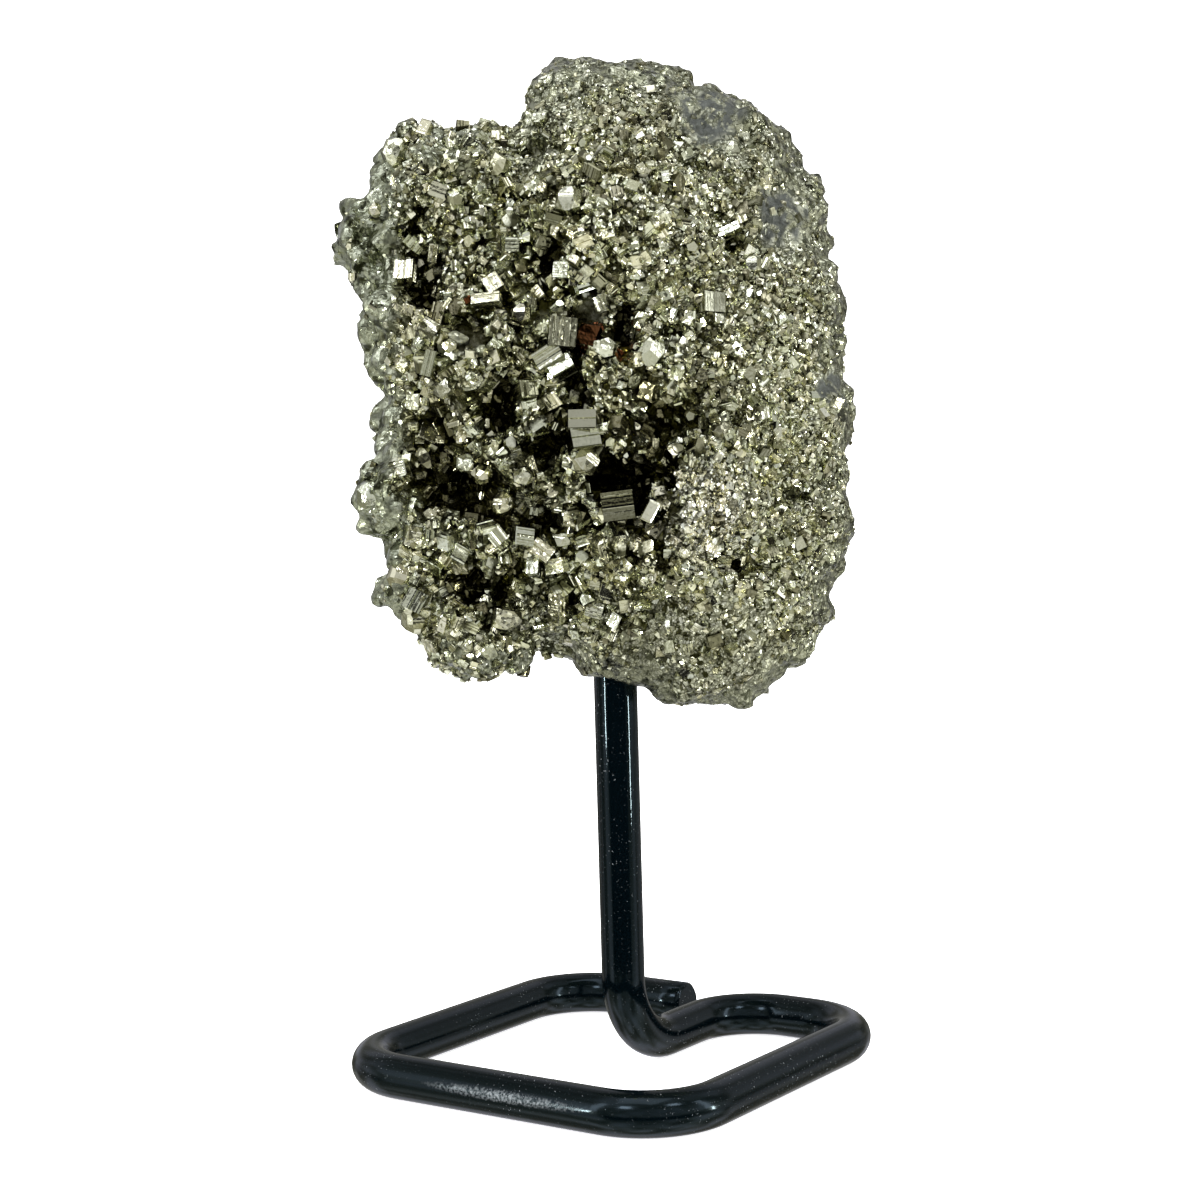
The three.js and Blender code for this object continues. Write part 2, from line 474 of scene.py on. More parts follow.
def rod_path(settings):
    """The rod's centre line from the post's top to the loop's free end."""
    r = settings.rod_radius
    half_x = (STAND_BOX[1].x - STAND_BOX[0].x) / 2 - r
    half_y = (STAND_BOX[1].y - STAND_BOX[0].y) / 2 - r

    def at(x, y, z=r):
        return Vector((FOOT_CENTRE.x + x, FOOT_CENTRE.y + y, z))

    post_x = POST_AT.x - FOOT_CENTRE.x
    post_y = POST_AT.y - FOOT_CENTRE.y
    stops = [
        at(post_x, post_y, POST_TOP),
        at(post_x, post_y),
        at(post_x, half_y),
        at(half_x, half_y),
        at(half_x, -half_y),
        at(-half_x, -half_y),
        at(-half_x, half_y),
        at(settings.loop_end, half_y),
    ]
    bends = [settings.post_bend, settings.spoke_bend] + 4 * [settings.corner_bend]
    points = [stops[0]]
    for n, radius in enumerate(bends):
        corner = stops[n + 1]
        before = corner + (stops[n] - corner).normalized() * radius
        after = corner + (stops[n + 2] - corner).normalized() * radius
        points += straight(points[-1], before)[1:] + quarter_turn(before, corner, after)[1:]
    return points + straight(points[-1], stops[-1])[1:]


def swept_rod(points, radius):
    """A round rod along the points, with its two ends slightly chamfered: its corners and faces."""
    tangents = []
    for n in range(len(points)):
        ahead = points[min(n + 1, len(points) - 1)] - points[max(n - 1, 0)]
        tangents.append(ahead.normalized())
    rings = []
    side = Vector((1, 0, 0))
    for point, tangent in zip(points, tangents):
        side = (side - tangent * side.dot(tangent)).normalized()
        rings.append((point, radius, side.copy(), tangent.cross(side)))
    first, last = rings[0], rings[-1]
    small = radius - END_CHAMFER
    rings[0] = (first[0] + tangents[0] * END_CHAMFER, *first[1:])
    rings[-1] = (last[0] - tangents[-1] * END_CHAMFER, *last[1:])
    rings = [(first[0], small, *first[2:])] + rings + [(last[0], small, *last[2:])]
    corners = []
    for centre, r, across, up in rings:
        for n in range(ROD_SIDES):
            angle = 2 * math.pi * n / ROD_SIDES
            corners.append(centre + across * (r * math.cos(angle)) + up * (r * math.sin(angle)))
    faces = [tuple(range(ROD_SIDES))[::-1], tuple(len(corners) - ROD_SIDES + n for n in range(ROD_SIDES))]
    for ring in range(len(rings) - 1):
        for n in range(ROD_SIDES):
            a, b = ring * ROD_SIDES + n, ring * ROD_SIDES + (n + 1) % ROD_SIDES
            faces.append((a, b, b + ROD_SIDES, a + ROD_SIDES))
    return corners, faces


def gloss_paint(settings):
    """Black gloss paint with a faint orange peel, dust, and a scuffed stretch near the front whose pale
    specks are partly a painted highlight.
    """
    s = Finish("gloss black paint")
    place = s.place()
    scuff = Vector((FOOT_CENTRE.x + SCUFF_ALONG, STAND_BOX[0].y, SCUFF_HEIGHT))
    shares = tuple(1 / reach for reach in SCUFF_REACH)
    away = s.vector("MULTIPLY", s.vector("SUBTRACT", place, scuff), shares)
    near = s.ramp(s.add("VectorMath", {0: away}, operation="LENGTH").outputs["Value"], 0.4, 1.0, 1.0, 0.0)
    patches = s.larger(s.ramp(s.noise(9 * MM), 0.45, 0.65, 0.1, 0.8), near)
    # partly a painted highlight: pale rubbed specks and extra dust, gathered in the scuffed stretch where the
    # foot shows a speckled highlight
    specks = s.ramp(s.noise(0.3 * MM, 4.0), s.math("MULTIPLY_ADD", near, -0.16, 0.66), 0.74)
    rubbed_and_glint = s.times(s.ramp(s.noise(0.4 * MM, 4.0), 0.42, 0.78), near)
    dust_and_glint = s.larger(s.times(specks, patches), rubbed_and_glint)
    worn = s.larger(s.ramp(s.parts(place)[2], WORN_UP_TO, GLOSSY_FROM, 0.14, 0.0), s.times(near, 0.5))
    s.set(
        Base_Color=s.mix(dust_and_glint, tuple(settings.paint), DUST_AND_GLINT),
        Roughness=s.ramp(s.larger(dust_and_glint, worn), 0.0, 1.0, 0.05, 0.6),
        IOR=1.37,
        Specular_IOR_Level=0.33,
        Specular_Tint=(0.72, 0.97, 1.0),
    )
    peel = s.bump(0.3, 0.05 * MM, s.noise(1.3 * MM, 3.0))
    grit = s.math("ADD", dust_and_glint, s.times(near, s.noise(0.35 * MM, 3.0)))
    s.set(Normal=s.bump(0.8, 0.04 * MM, grit, Normal=peel))
    return s.material


class BuildStand(bpy.types.Operator):
    """Sweep the painted rod of the stand"""

    bl_idname = "pyrite.build_stand"
    bl_label = "Stand"

    def execute(self, context):
        settings = context.scene.pyrite_stand
        corners, faces = swept_rod(rod_path(settings), settings.rod_radius)
        mesh = bpy.data.meshes.new("bent_rod")
        mesh.from_pydata(corners, [], faces)
        mesh.polygons.foreach_set("use_smooth", [len(face) == 4 for face in faces])
        rod = new_object("bent_rod", mesh, gloss_paint(settings))
        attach(rod, "root")
        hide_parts("stand_rod")
        return {"FINISHED"}


# ---- What grows where: each answer is for points in the cluster's axes ----
def coarseness(points):
    """1 where the crystals are large and open, 0 where they are a fine even crust."""
    x, y, z = points.T
    front = smoothstep(4, -6, y)
    open_face = 1 - smoothstep(0.55, 1.25, np.hypot((x + 9) / 25, (z + 5) / 38))
    back = smoothstep(-0.1, 0.5, noise(points, 17, Channel.BACK_CRUST))
    blend = front * open_face + (1 - front) * 0.8 * back
    return np.clip(blend + 0.25 * noise(points, 7, Channel.CRUST_EDGE), 0, 1)


def around(points):
    """1 round the edge of the right half, where the crust is packed close."""
    x, y, _ = points.T
    side = smoothstep(-11.0, -5.5, y + 1.5 * noise(points, 6.0, Channel.AROUND)) * smoothstep(10.0, 4.0, y)
    return side * smoothstep(-14.0, -5.0, x)


def sleekness(points):
    """1 on the rounded sleek skin of the left rim, where few crystals show."""
    x, y, z = points.T
    toward_rim = x + 2.5 * noise(points, 6.0, Channel.RIM) + 0.5 * np.clip(-9 - y, 0, 20)
    rim = smoothstep(-22.0, -28.0, toward_rim)
    foot = smoothstep(-31.0, -36.0, z + 3.0 * noise(points, 7.0, Channel.FOOT)) * smoothstep(-4.0, -12.0, x)
    brow = smoothstep(28.0, 31.0, z + 2.0 * noise(points, 5.0, Channel.BROW)) * smoothstep(-12.0, -17.0, x)
    return np.clip(np.maximum.reduce([rim, 0.8 * foot, 0.8 * brow, 0.4 * around(points)]), 0, 1)


# Dull grey patches of matrix: place, and radius.
DULL_PATCHES = [
    ((16.0, -8.0, 36.0), 4.5),
    ((24.5, -9.5, 22.5), 3.8),
    ((-1.0, -16.0, 9.5), 1.8),
    ((-17.0, -19.0, 6.5), 2.2),
    ((31.0, -8.0, -1.0), 2.4),
    ((10.0, 20.0, 14.0), 4.5),
    ((-14.0, 18.0, -16.0), 3.8),
]
PATCH_SHAPE = (1, 0.45, 1)  # a gap counts for less along y, so that the patches reach round the edges


def dullness(points):
    """1 inside a patch of matrix and 0 away from them all."""
    nearest = np.full(len(points), np.inf)
    for place, radius in DULL_PATCHES:
        gap = np.linalg.norm((points - np.array(place)) * np.array(PATCH_SHAPE), axis=1)
        nearest = np.minimum(nearest, gap / radius)
    return 1 - smoothstep(0.7, 1.3, nearest + 0.35 * noise(points, 1.5, Channel.MATRIX))


def sparkling(points):
    """1 in the paler glittering stretch of the front's crust, -1 in the matte one under it."""
    x, y, z = points.T
    ragged = 0.35 * noise(points, 4.0, Channel.GLITTER)
    glitter = 1 - smoothstep(0.4, 1.2, np.hypot((x - 12) / 9, (z + 17) / 7) + ragged)
    matte = 1 - smoothstep(0.7, 1.2, np.hypot((x - 14) / 13, (z + 38) / 10) + ragged)
    return (glitter - matte) * (y < -3)


def glittering(points):
    """1 in the glittering stretch alone."""
    return np.clip(sparkling(points), 0, 1)


def matte(points):
    """1 in the matte stretch alone."""
    return np.clip(-sparkling(points), 0, 1)


# Rust-brown stains: middle x and z, and radius.
RUST = [(-1.2, 6.7, 1.7), (3.2, 4.2, 1.0), (-16.5, 12.0, 0.9)]


def rusty(points):
    """1 in the rust-brown stains of the front."""
    stained = np.zeros(len(points))
    for x, z, radius in RUST:
        near = np.hypot(points[:, 0] - x, points[:, 2] - z) / radius
        stained = np.maximum(stained, 1 - smoothstep(0.7, 1.1, near))
    return stained * (points[:, 1] < -5)


# Pockets of the front: middle x and z, half-widths in x and z, depth.
POCKETS = [
    (-22.0, -12.5, 5.4, 3.2, 6.0),
    (1.8, -13.0, 2.8, 2.8, 5.5),
    (-6.8, -6.0, 1.6, 3.6, 4.5),
    (-23.8, 14.8, 2.4, 2.2, 5.0),
    (-22.3, 10.3, 1.5, 1.5, 4.0),
    (-25.2, 22.0, 1.2, 1.5, 3.5),
    (-21.2, 26.3, 1.1, 1.0, 3.0),
    (4.2, 7.4, 1.4, 1.5, 4.0),
    (9.6, 7.3, 1.3, 1.1, 3.0),
    (-1.0, 23.0, 1.0, 1.0, 3.0),
    (-7.2, 25.3, 0.9, 0.9, 3.0),
    (18.5, -24.0, 2.4, 1.8, 3.5),
    (7.0, -24.5, 1.8, 2.2, 3.5),
    (-18.5, -26.0, 3.4, 1.8, 4.5),
    (-8.8, -17.3, 2.6, 1.8, 4.5),
    (-14.5, 6.5, 1.8, 1.5, 3.0),
    (-7.5, 17.0, 1.6, 1.5, 3.0),
    (1.5, 12.0, 1.6, 1.3, 3.0),
    (-18.5, 6.5, 1.6, 1.6, 3.5),
    (-15.0, -3.0, 1.8, 1.5, 3.0),
    (10.5, -5.5, 1.2, 1.4, 2.8),
]


def pocket_depth(points):
    """How deep the front's pockets are at each point, in millimetres. Whole cells are missing there."""
    _, owner, offset = grains(points, 2.8, Channel.POCKET)
    x, y, z = (points - 0.8 * offset).T
    depth = np.zeros(len(points))
    spread = 0.75 + 0.5 * hashed(owner, Channel.POCKET_WIDTH)
    for middle_x, middle_z, half_x, half_z, deep in POCKETS:
        share = np.hypot((x - middle_x) / half_x, (z - middle_z) / half_z) * spread
        depth = np.maximum(depth, deep * np.sqrt(np.clip(1.25 - share**2, 0, 1)))
    return depth * (0.8 + 0.4 * hashed(owner, Channel.POCKET_DEPTH)) * (y < -3)


# ---- The rock ----
def lumps(points, size, channel, rise):
    """Height of rounded lumps about size across, and a number from 0 to 1 for each lump."""
    gap, owner, _ = grains(points, size, channel)
    share = hashed(owner, channel + SHARE_OF)
    dome = np.sqrt(np.clip(gap / (0.55 * size), 0, 1))
    return rise * (dome * (0.7 + 0.6 * share) - 1), share


def broken(points, size, channel, slope, step):
    """Height of ground broken into flat tilted cells about size across."""
    _, owner, offset = grains(points, size, channel)
    tilt = np.stack([hashed(owner, channel + TILT_OF + k) - 0.5 for k in range(3)], axis=1)
    return 2 * slope * (offset * tilt).sum(axis=1) + step * (hashed(owner, channel + SHARE_OF) - 0.5)


def ground_height(corners, clump_size):
    """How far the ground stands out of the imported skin, in millimetres, before it is drawn in."""
    clump, clump_share = lumps(corners, clump_size, Channel.CLUMP, 2.4)
    knot, knot_share = lumps(corners, clump_size * 0.5, Channel.KNOT, 1.2)
    holes = np.where(clump_share < 0.12, -3.4, 0.0) + np.where(knot_share < 0.12, -1.5, 0.0)
    open_ground = clump + knot + holes + broken(corners, 2.2, Channel.OPEN_GROUND, 0.7, 1.0)

    sleek = sleekness(corners)
    calm = np.maximum.reduce([sleek, around(corners), 0.6 * matte(corners)])
    chipped = hashed(grains(corners, 1.5, Channel.CHIP)[1], Channel.CHIP_SHARE) < 0.1
    chips = np.where(chipped, -1.1, 0.0)
    rubble = broken(corners, 1.7, Channel.RUBBLE, 0.55, 0.5) * (1 - 0.5 * calm) + chips * (1 - calm)
    even_ground = 0.3 * clump + 0.3 * knot + rubble
    sleek_ground = 1.1 * clump + 0.7 * knot + 1.9 + np.where(knot_share < 0.15, -1.2, 0.0)

    height = even_ground + coarseness(corners) * (open_ground - even_ground)
    return height + sleek * (sleek_ground - height)


LOBE_FLOOR = -42.8  # the right lobe's lowest tips are blunted below this height


def shaped_rock(settings):
    """The rock as a mesh in the row's frame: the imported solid, drawn in, lumped and broken up."""
    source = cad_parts["pyrite_cluster"].data.copy()
    even = remeshed(source, settings.pitch, 6)
    bpy.data.meshes.remove(source)
    corners = to_cluster(corners_of(even))
    normals = normals_of(even)

    height = ground_height(corners, settings.clump)
    inset = settings.inset * (1 - 0.7 * around(corners))
    height += 0.3 * noise(corners, 2.0, Channel.RIPPLE) - inset - pocket_depth(corners)
    height *= smoothstep(4.0, 7.0, from_post(corners))
    lobe = smoothstep(-36.5, -41.0, corners[:, 2]) * smoothstep(6.0, 10.0, corners[:, 0])
    places = corners + normals * (height + 0.8 * lobe)[:, None]
    places[:, 2] -= 0.5 * np.minimum(places[:, 2] - LOBE_FLOOR, 0.0)
    move(even, places)
    rock = remeshed(even, settings.pitch * 0.95, 1)
    bpy.data.meshes.remove(even)

    corners = to_cluster(corners_of(rock))
    jitter = hashed(np.floor(corners / 0.2), Channel.JITTER) - 0.5
    rugged = 0.07 + 0.18 * smoothstep(-0.2, 0.3, noise(corners, 3.0, Channel.RUGGED))
    smooth = np.maximum.reduce([0.85 * sleekness(corners), 0.5 * around(corners), 0.1 * matte(corners)])
    away = rugged * (1 - smooth) * jitter
    move(rock, corners + normals_of(rock) * away[:, None])
    rock.shade_flat()
    return rock


HALF = (0.5, 0.5, 0.5)


def cells(s, size, place, **settings):
    """A Voronoi texture whose cells are about size metres across."""
    return s.add("TexVoronoi", {"Vector": place, "Scale": 1 / size}, **settings).outputs


def leant(s, normal, colour, tilt):
    """The normal, leant towards a random colour's way by up to about tilt."""
    way = s.vector("SUBTRACT", colour, HALF)
    shift = s.add("VectorMath", {0: way, "Scale": tilt}, operation="SCALE").outputs[0]
    return s.vector("NORMALIZE", s.vector("ADD", normal, shift))


def tilted(s, normal, size, tilt):
    """The normal, tilted a random way in each cell of the stone about size metres across."""
    return leant(s, normal, cells(s, size, s.place())["Color"], tilt)


def banded(s, normal, along, width, tilt):
    """The normal, tilted a random way in each band about width across along a length."""
    inputs = {"W": along, "Scale": 1 / width}
    bands = s.add("TexVoronoi", inputs, voronoi_dimensions="1D").outputs["Color"]
    return leant(s, normal, bands, tilt)


PLATE_SIZE = 1.45 * MM
CRUMB_SIZE = 0.44 * MM
PLATE_COLOURS = ((0.42, 0.428, 0.265), (0.7, 0.706, 0.525))
GRAIN_COLOURS = ((0.235, 0.238, 0.127), (0.72, 0.722, 0.555))
MATTE_COLOUR = (0.72, 0.73, 0.54)
GLITTER_COLOUR = (0.92, 0.91, 0.76)
SLEEK_COLOUR = (0.27, 0.29, 0.2)
# painted shade: near-black ground colours for the pockets and between the large crystals
POCKET_SHADE_COLOURS = ((0.008, 0.008, 0.0015), (0.04, 0.038, 0.009))
SEAM_COLOUR = (0.04, 0.04, 0.006)
# painted shade of small pits, dark spots in the colour alone
PIT_SHADE_COLOUR = (0.02, 0.02, 0.003)
# painted shade of hollows on the sleek rim
HOLLOW_SHADE_COLOUR = (0.02, 0.022, 0.006)
MATRIX_COLOURS = ((0.005, 0.006, 0.005), (0.1, 0.108, 0.088))


def rock_finish():
    """The ground between the crystals: broken facets and fine grains, with painted shade, near black, in the
    pockets and between the large crystals.
    """
    s = Finish("pyrite ground")
    pale = s.attribute("pale")["Fac"]
    dull, sleek, sparkle = s.parts(s.attribute("marks")["Vector"])
    matted = s.ramp(sparkle, -1.0, 0.0, 1.0, 0.0)

    place = s.place()
    warp = s.add("TexNoise", {"Vector": place, "Scale": 1 / (0.9 * MM), "Detail": 2.0}).outputs["Color"]
    place = s.vector("ADD", place, s.vector("MULTIPLY", warp, (0.6 * MM, 0.6 * MM, 0.6 * MM)))
    plates = cells(s, PLATE_SIZE, place, distance="CHEBYCHEV")["Color"]
    crumbs = cells(s, CRUMB_SIZE, place)["Color"]
    random = s.parts(plates)
    flat = s.ramp(s.scrambled(random[0], 7.3), 0.4, 0.45)
    flat = s.larger(s.times(flat, s.ramp(matted, 0.0, 1.0, 1.0, 0.3)), sleek)

    # painted shade, used wherever the pale mask is low
    dark = s.mix(s.noise(2.5 * MM, 3.0), *POCKET_SHADE_COLOURS)
    grain = s.mix(s.parts(crumbs)[0], *GRAIN_COLOURS)
    grain = s.mix(s.times(matted, 0.5), grain, MATTE_COLOUR)
    light = s.mix(flat, grain, s.mix(random[1], *PLATE_COLOURS))
    light = s.mix(s.times(s.ramp(sparkle, 0.0, 1.0), 0.6), light, GLITTER_COLOUR)
    edges = cells(s, PLATE_SIZE, place, feature="DISTANCE_TO_EDGE")["Distance"]
    small_edges = cells(s, CRUMB_SIZE, place, feature="DISTANCE_TO_EDGE")["Distance"]
    whole = s.math("MINIMUM", s.ramp(edges, 0.015, 0.08), s.larger(flat, s.ramp(small_edges, 0.04, 0.18)))
    seam = s.times(s.ramp(whole, 0.0, 1.0, 0.85, 0.0), s.ramp(matted, 0.0, 1.0, 1.0, 0.95))
    light = s.mix(seam, light, SEAM_COLOUR)
    # painted shade: small dark pits drawn in the colour, with no hollow in the mesh
    light = s.mix(s.ramp(s.noise(1.1 * MM, 3.0), 0.41, 0.445, 0.96, 0.0), light, PIT_SHADE_COLOUR)
    light = s.mix(s.times(sleek, 0.8), light, SLEEK_COLOUR)
    # painted shade: dark hollows on the sleek rim, in the colour alone
    hollow_shade = s.times(s.ramp(s.noise(2.0 * MM), 0.36, 0.43, 0.9, 0.0), sleek)
    light = s.mix(hollow_shade, light, HOLLOW_SHADE_COLOUR)
    dull = s.times(dull, s.ramp(s.noise(1.5 * MM, 3.0), 0.36, 0.5, 0.2, 1.0))
    light = s.mix(dull, light, s.mix(s.noise(1.0 * MM, 3.0), *MATRIX_COLOURS))
    coarse_skin = s.larger(s.times(dull, 0.3), s.times(matted, 0.15))
    rough = s.math("ADD", s.ramp(random[2], 0.0, 1.0, 0.12, 0.34), coarse_skin)
    s.set(Base_Color=s.mix(pale, dark, light), Roughness=rough, Metallic=s.ramp(dull, 0.0, 1.0, 1.0, 0.4))

    normal = s.add("NewGeometry").outputs["Normal"]
    broad = leant(s, normal, plates, s.ramp(s.larger(sleek, matted), 0.0, 1.0, 0.75, 0.3))
    way = s.vector("SUBTRACT", plates, HALF)
    along = s.add("VectorMath", {0: place, 1: way}, operation="DOT_PRODUCT").outputs["Value"]
    ridged = s.ramp(s.scrambled(random[1], 5.7), 0.6, 0.65, 0.0, 0.6)
    lined = banded(s, broad, along, 0.09 * MM, s.times(ridged, s.ramp(sleek, 0.0, 1.0, 1.0, 0.2)))
    lean = s.times(s.ramp(flat, 0.0, 1.0, 0.9, 0.08), s.ramp(matted, 0.0, 1.0, 1.0, 0.6))
    facets = leant(s, lined, crumbs, lean)
    s.set(Normal=s.bump(0.35, 0.1 * MM, s.noise(0.4 * MM, 3.0), Normal=facets))
    return s.material


class BuildRock(bpy.types.Operator):
    """Shape the rock that the crystals grow on"""

    bl_idname = "pyrite.build_rock"
    bl_label = "Rock"

    def execute(self, context):
        mesh = shaped_rock(context.scene.pyrite_rock)
        mesh.name = "pyrite_rock"
        corners = corners_of(mesh)
        skin = packed_tree(corners_of(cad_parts["pyrite_cluster"].data))
        depths = np.array([skin.find_nearest(Vector(corner))[3] / MM for corner in corners])
        note(mesh, "depth", depths)
        places = to_cluster(corners)
        sleek = sleekness(places)
        # pale picks the light ground colour on the fine crust, the sleek rim and low down, and is 0 deeper
        # than about 4 mm under the imported skin; where it is low the ground gets painted shade
        low = 0.7 * smoothstep(-22.0, -29.0, places[:, 2])
        pale = np.maximum.reduce([1 - coarseness(places), sleek, low]) * (1 - smoothstep(2.3, 3.8, depths))
        note(mesh, "pale", pale)
        note(mesh, "marks", np.stack([dullness(places), sleek, sparkling(places)], axis=1))
        mesh.materials.clear()
        rock = new_object("pyrite_rock", mesh, rock_finish())
        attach(rock, "root")
        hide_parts("pyrite_cluster")
        return {"FINISHED"}


# ---- Crystal forms ----
CUBE = [(1, 0, 0), (0, 1, 0), (0, 0, 1)]
OCTAHEDRON = [(1, 1, 1), (-1, 1, 1), (1, -1, 1), (1, 1, -1)]
DODECAHEDRON = [(1, 1, 0), (1, -1, 0), (0, 1, 1), (0, 1, -1), (1, 0, 1), (-1, 0, 1)]
PYRITOHEDRON = [(2, 1, 0), (2, -1, 0), (0, 2, 1), (0, 2, -1), (1, 0, 2), (-1, 0, 2)]


class Form:
    """A crystal about 2 across: corners, faces, and the direction its striations are counted along."""

    def __init__(self, corners, faces, lengthwise=False):
        self.corners = corners
        self.loops = np.concatenate(faces)
        self.sizes = np.array([len(face) for face in faces])
        axes, striped = [], []
        for face in faces:
            a, b, c = corners[face[0]], corners[face[1]], corners[face[2]]
            facing = np.abs(unit(np.cross(b - a, c - a)))
            across = int(np.argmax(facing))
            axes += len(face) * [1 - across if lengthwise and across < 2 else (across + 1) % 3]
            striped += len(face) * [1.0 if facing[across] > 0.9 else 0.0]
        self.stripe_axes = np.array(axes)
        self.striped = np.array(striped)


def convex_form(normals, distances):
    """The solid inside a set of planes."""
    normals = unit(np.array(normals, float))
    distances = np.array(distances, float)
    corners = []
    for trio in itertools.combinations(range(len(normals)), 3):
        planes = normals[list(trio)]
        if abs(np.linalg.det(planes)) < 1e-4:
            continue
        corner = np.linalg.solve(planes, distances[list(trio)])
        if (normals @ corner <= distances + 1e-6).all():
            if not any(np.abs(corner - other).max() < 1e-5 for other in corners):
                corners.append(corner)
    corners = np.array(corners)
    faces = []
    for normal, distance in zip(normals, distances):
        on = np.flatnonzero(np.abs(corners @ normal - distance) < 2e-5)
        if len(on) < 3:
            continue
        spokes = corners[on] - corners[on].mean(axis=0)
        across = unit(spokes[0])
        angle = np.arctan2(spokes @ np.cross(normal, across), spokes @ across)
        faces.append(on[np.argsort(angle)])
    return Form(corners, faces)


def habit(random, *groups):
    """A crystal whose faces belong to groups of (directions, distance, uneven growth)."""
    normals, distances = [], []
    for directions, distance, uneven in groups:
        for direction in directions:
            for sign in (1, -1):
                normals.append([sign * v for v in direction])
                distances.append(distance * (1 + uneven * random.uniform(-1, 1)))
    return convex_form(normals, distances)


def broken_form(random, planes):
    """An uneven broken grain."""
    normals = [list(d) for d in unit(random.normal(size=(planes, 3)))]
    normals += [[s * v for v in d] for d in CUBE for s in (1, -1)]
    distances = [random.uniform(0.6, 0.95) for _ in range(planes)] + 6 * [1.0]
    return convex_form(normals, distances)


def striated_form(random, ridges, depth):
    """A block whose four sides are ridged along its length."""
    outline = []
    for side in range(4):
        along, out = [-1.0], [1.0]
        for cut in np.sort(random.uniform(-0.9, 0.9, ridges)):
            along += [cut - 0.02, cut + 0.03]
            out += [out[-1] - depth * random.uniform(0, 0.3), 1 - depth * random.uniform(0, 1)]
        for x, y in zip(along, [-o for o in out]):
            for _ in range(side):
                x, y = -y, x
            outline.append((x, y))
    outline = np.array(outline)
    count = len(outline)
    low = np.column_stack([outline, np.full(count, -1.0)])
    high = np.column_stack([outline, np.full(count, 1.0)])
    faces = [np.arange(count)[::-1], np.arange(count) + count]
    for n in range(count):
        m = (n + 1) % count
        faces.append(np.array([n, m, m + count, n + count]))
    return Form(np.vstack([low, high]), faces, lengthwise=True)


KINDS = ("cube", "bevelled", "cut cube", "pyritohedron", "rounded", "octahedron", "grain", "striated", "lump")


def crystal_forms(random):
    """Several uneven forms of each kind."""
    forms = {kind: [] for kind in KINDS}
    for _ in range(6):
        forms["bevelled"].append(habit(random, (CUBE, 0.85, 0.1), (DODECAHEDRON, 1.13, 0.05)))
        forms["cube"].append(habit(random, (CUBE, 0.85, 0.18)))
        forms["grain"].append(broken_form(random, 2))
    for _ in range(4):
        forms["cut cube"].append(habit(random, (CUBE, 0.85, 0.12), (OCTAHEDRON, 1.18, 0.13)))
        forms["pyritohedron"].append(habit(random, (PYRITOHEDRON, 0.85, 0.12)))
        forms["rounded"].append(
            habit(random, (CUBE, 0.92, 0.08), (PYRITOHEDRON, 0.94, 0.06), (OCTAHEDRON, 1.0, 0.1))
        )
        forms["octahedron"].append(habit(random, (OCTAHEDRON, 0.68, 0.15)))
        forms["lump"].append(
            habit(random, (CUBE, 0.96, 0.05), (PYRITOHEDRON, 0.95, 0.04), (OCTAHEDRON, 0.95, 0.05),
                  (DODECAHEDRON, 0.98, 0.03))
        )
        forms["striated"].append(striated_form(random, 3, 0.16))
    return forms


# ---- Growing crystals ----
RUST_STAIN = 2.0  # a stain of 1 is the darkest tarnish and the painted shade deep in pockets, and one of 2 is rust


class Growth:
    """Crystals gathered as arrays: form, middle, axes, half-sizes, traits (tone, stain with painted shade,
    dullness), and the place and way out of the skin each stands on."""

    def __init__(self):
        self.rows = []

    def add(self, forms, middles, axes, sizes, traits, feet, outward):
        self.rows.append((forms, middles, axes, sizes, traits, feet, outward))

    def gathered(self):
        return [np.concatenate(column) for column in zip(*self.rows)]


class Skin:
    """The rock's surface, to place crystals on."""

    def __init__(self, rock):
        mesh = rock.data
        mesh.calc_loop_triangles()
        self.corners = to_cluster(corners_of(mesh))
        triangles = np.empty(len(mesh.loop_triangles) * 3, np.int32)
        mesh.loop_triangles.foreach_get("vertices", triangles)
        self.triangles = triangles.reshape(-1, 3)
        a, b, c = (self.corners[self.triangles[:, k]] for k in range(3))
        across = np.cross(b - a, c - a)
        self.areas = np.linalg.norm(across, axis=1) / 2
        self.middles = (a + b + c) / 3
        self.normals = normals_of(mesh)
        depths = np.empty(len(mesh.vertices), np.float32)
        mesh.attributes["depth"].data.foreach_get("value", depths)
        self.corner_depths = depths.astype(float)
        self.depths = self.corner_depths[self.triangles].mean(axis=1)

    def scatter(self, random, count, weights):
        """Points spread over the surface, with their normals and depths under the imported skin."""
        share = self.areas * weights
        chosen = np.searchsorted(np.cumsum(share) / share.sum(), random.random(count))
        u, v = np.sqrt(random.random(count)), random.random(count)
        mix = np.stack([1 - u, u * (1 - v), u * v], axis=1)[:, :, None]
        trios = self.triangles[chosen]
        places = (self.corners[trios] * mix).sum(axis=1)
        depths = (self.corner_depths[trios] * mix[:, :, 0]).sum(axis=1)
        return places, unit((self.normals[trios] * mix).sum(axis=1)), depths


def spaced(points, radii, room):
    """Which points keep room times the two radii from all the points before them."""
    cell = radii.max() * 2 * room
    grid, kept = {}, []
    keys = np.floor(points / cell).astype(int)
    for n, (x, y, z) in enumerate(keys.tolist()):
        clear = True
        for key in itertools.product((x - 1, x, x + 1), (y - 1, y, y + 1), (z - 1, z, z + 1)):
            for other in grid.get(key, ()):
                gap = points[n] - points[other]
                if gap @ gap < (room * (radii[n] + radii[other])) ** 2:
                    clear = False
                    break
            if not clear:
                break
        if clear:
            grid.setdefault((x, y, z), []).append(n)
            kept.append(n)
    return np.array(kept)


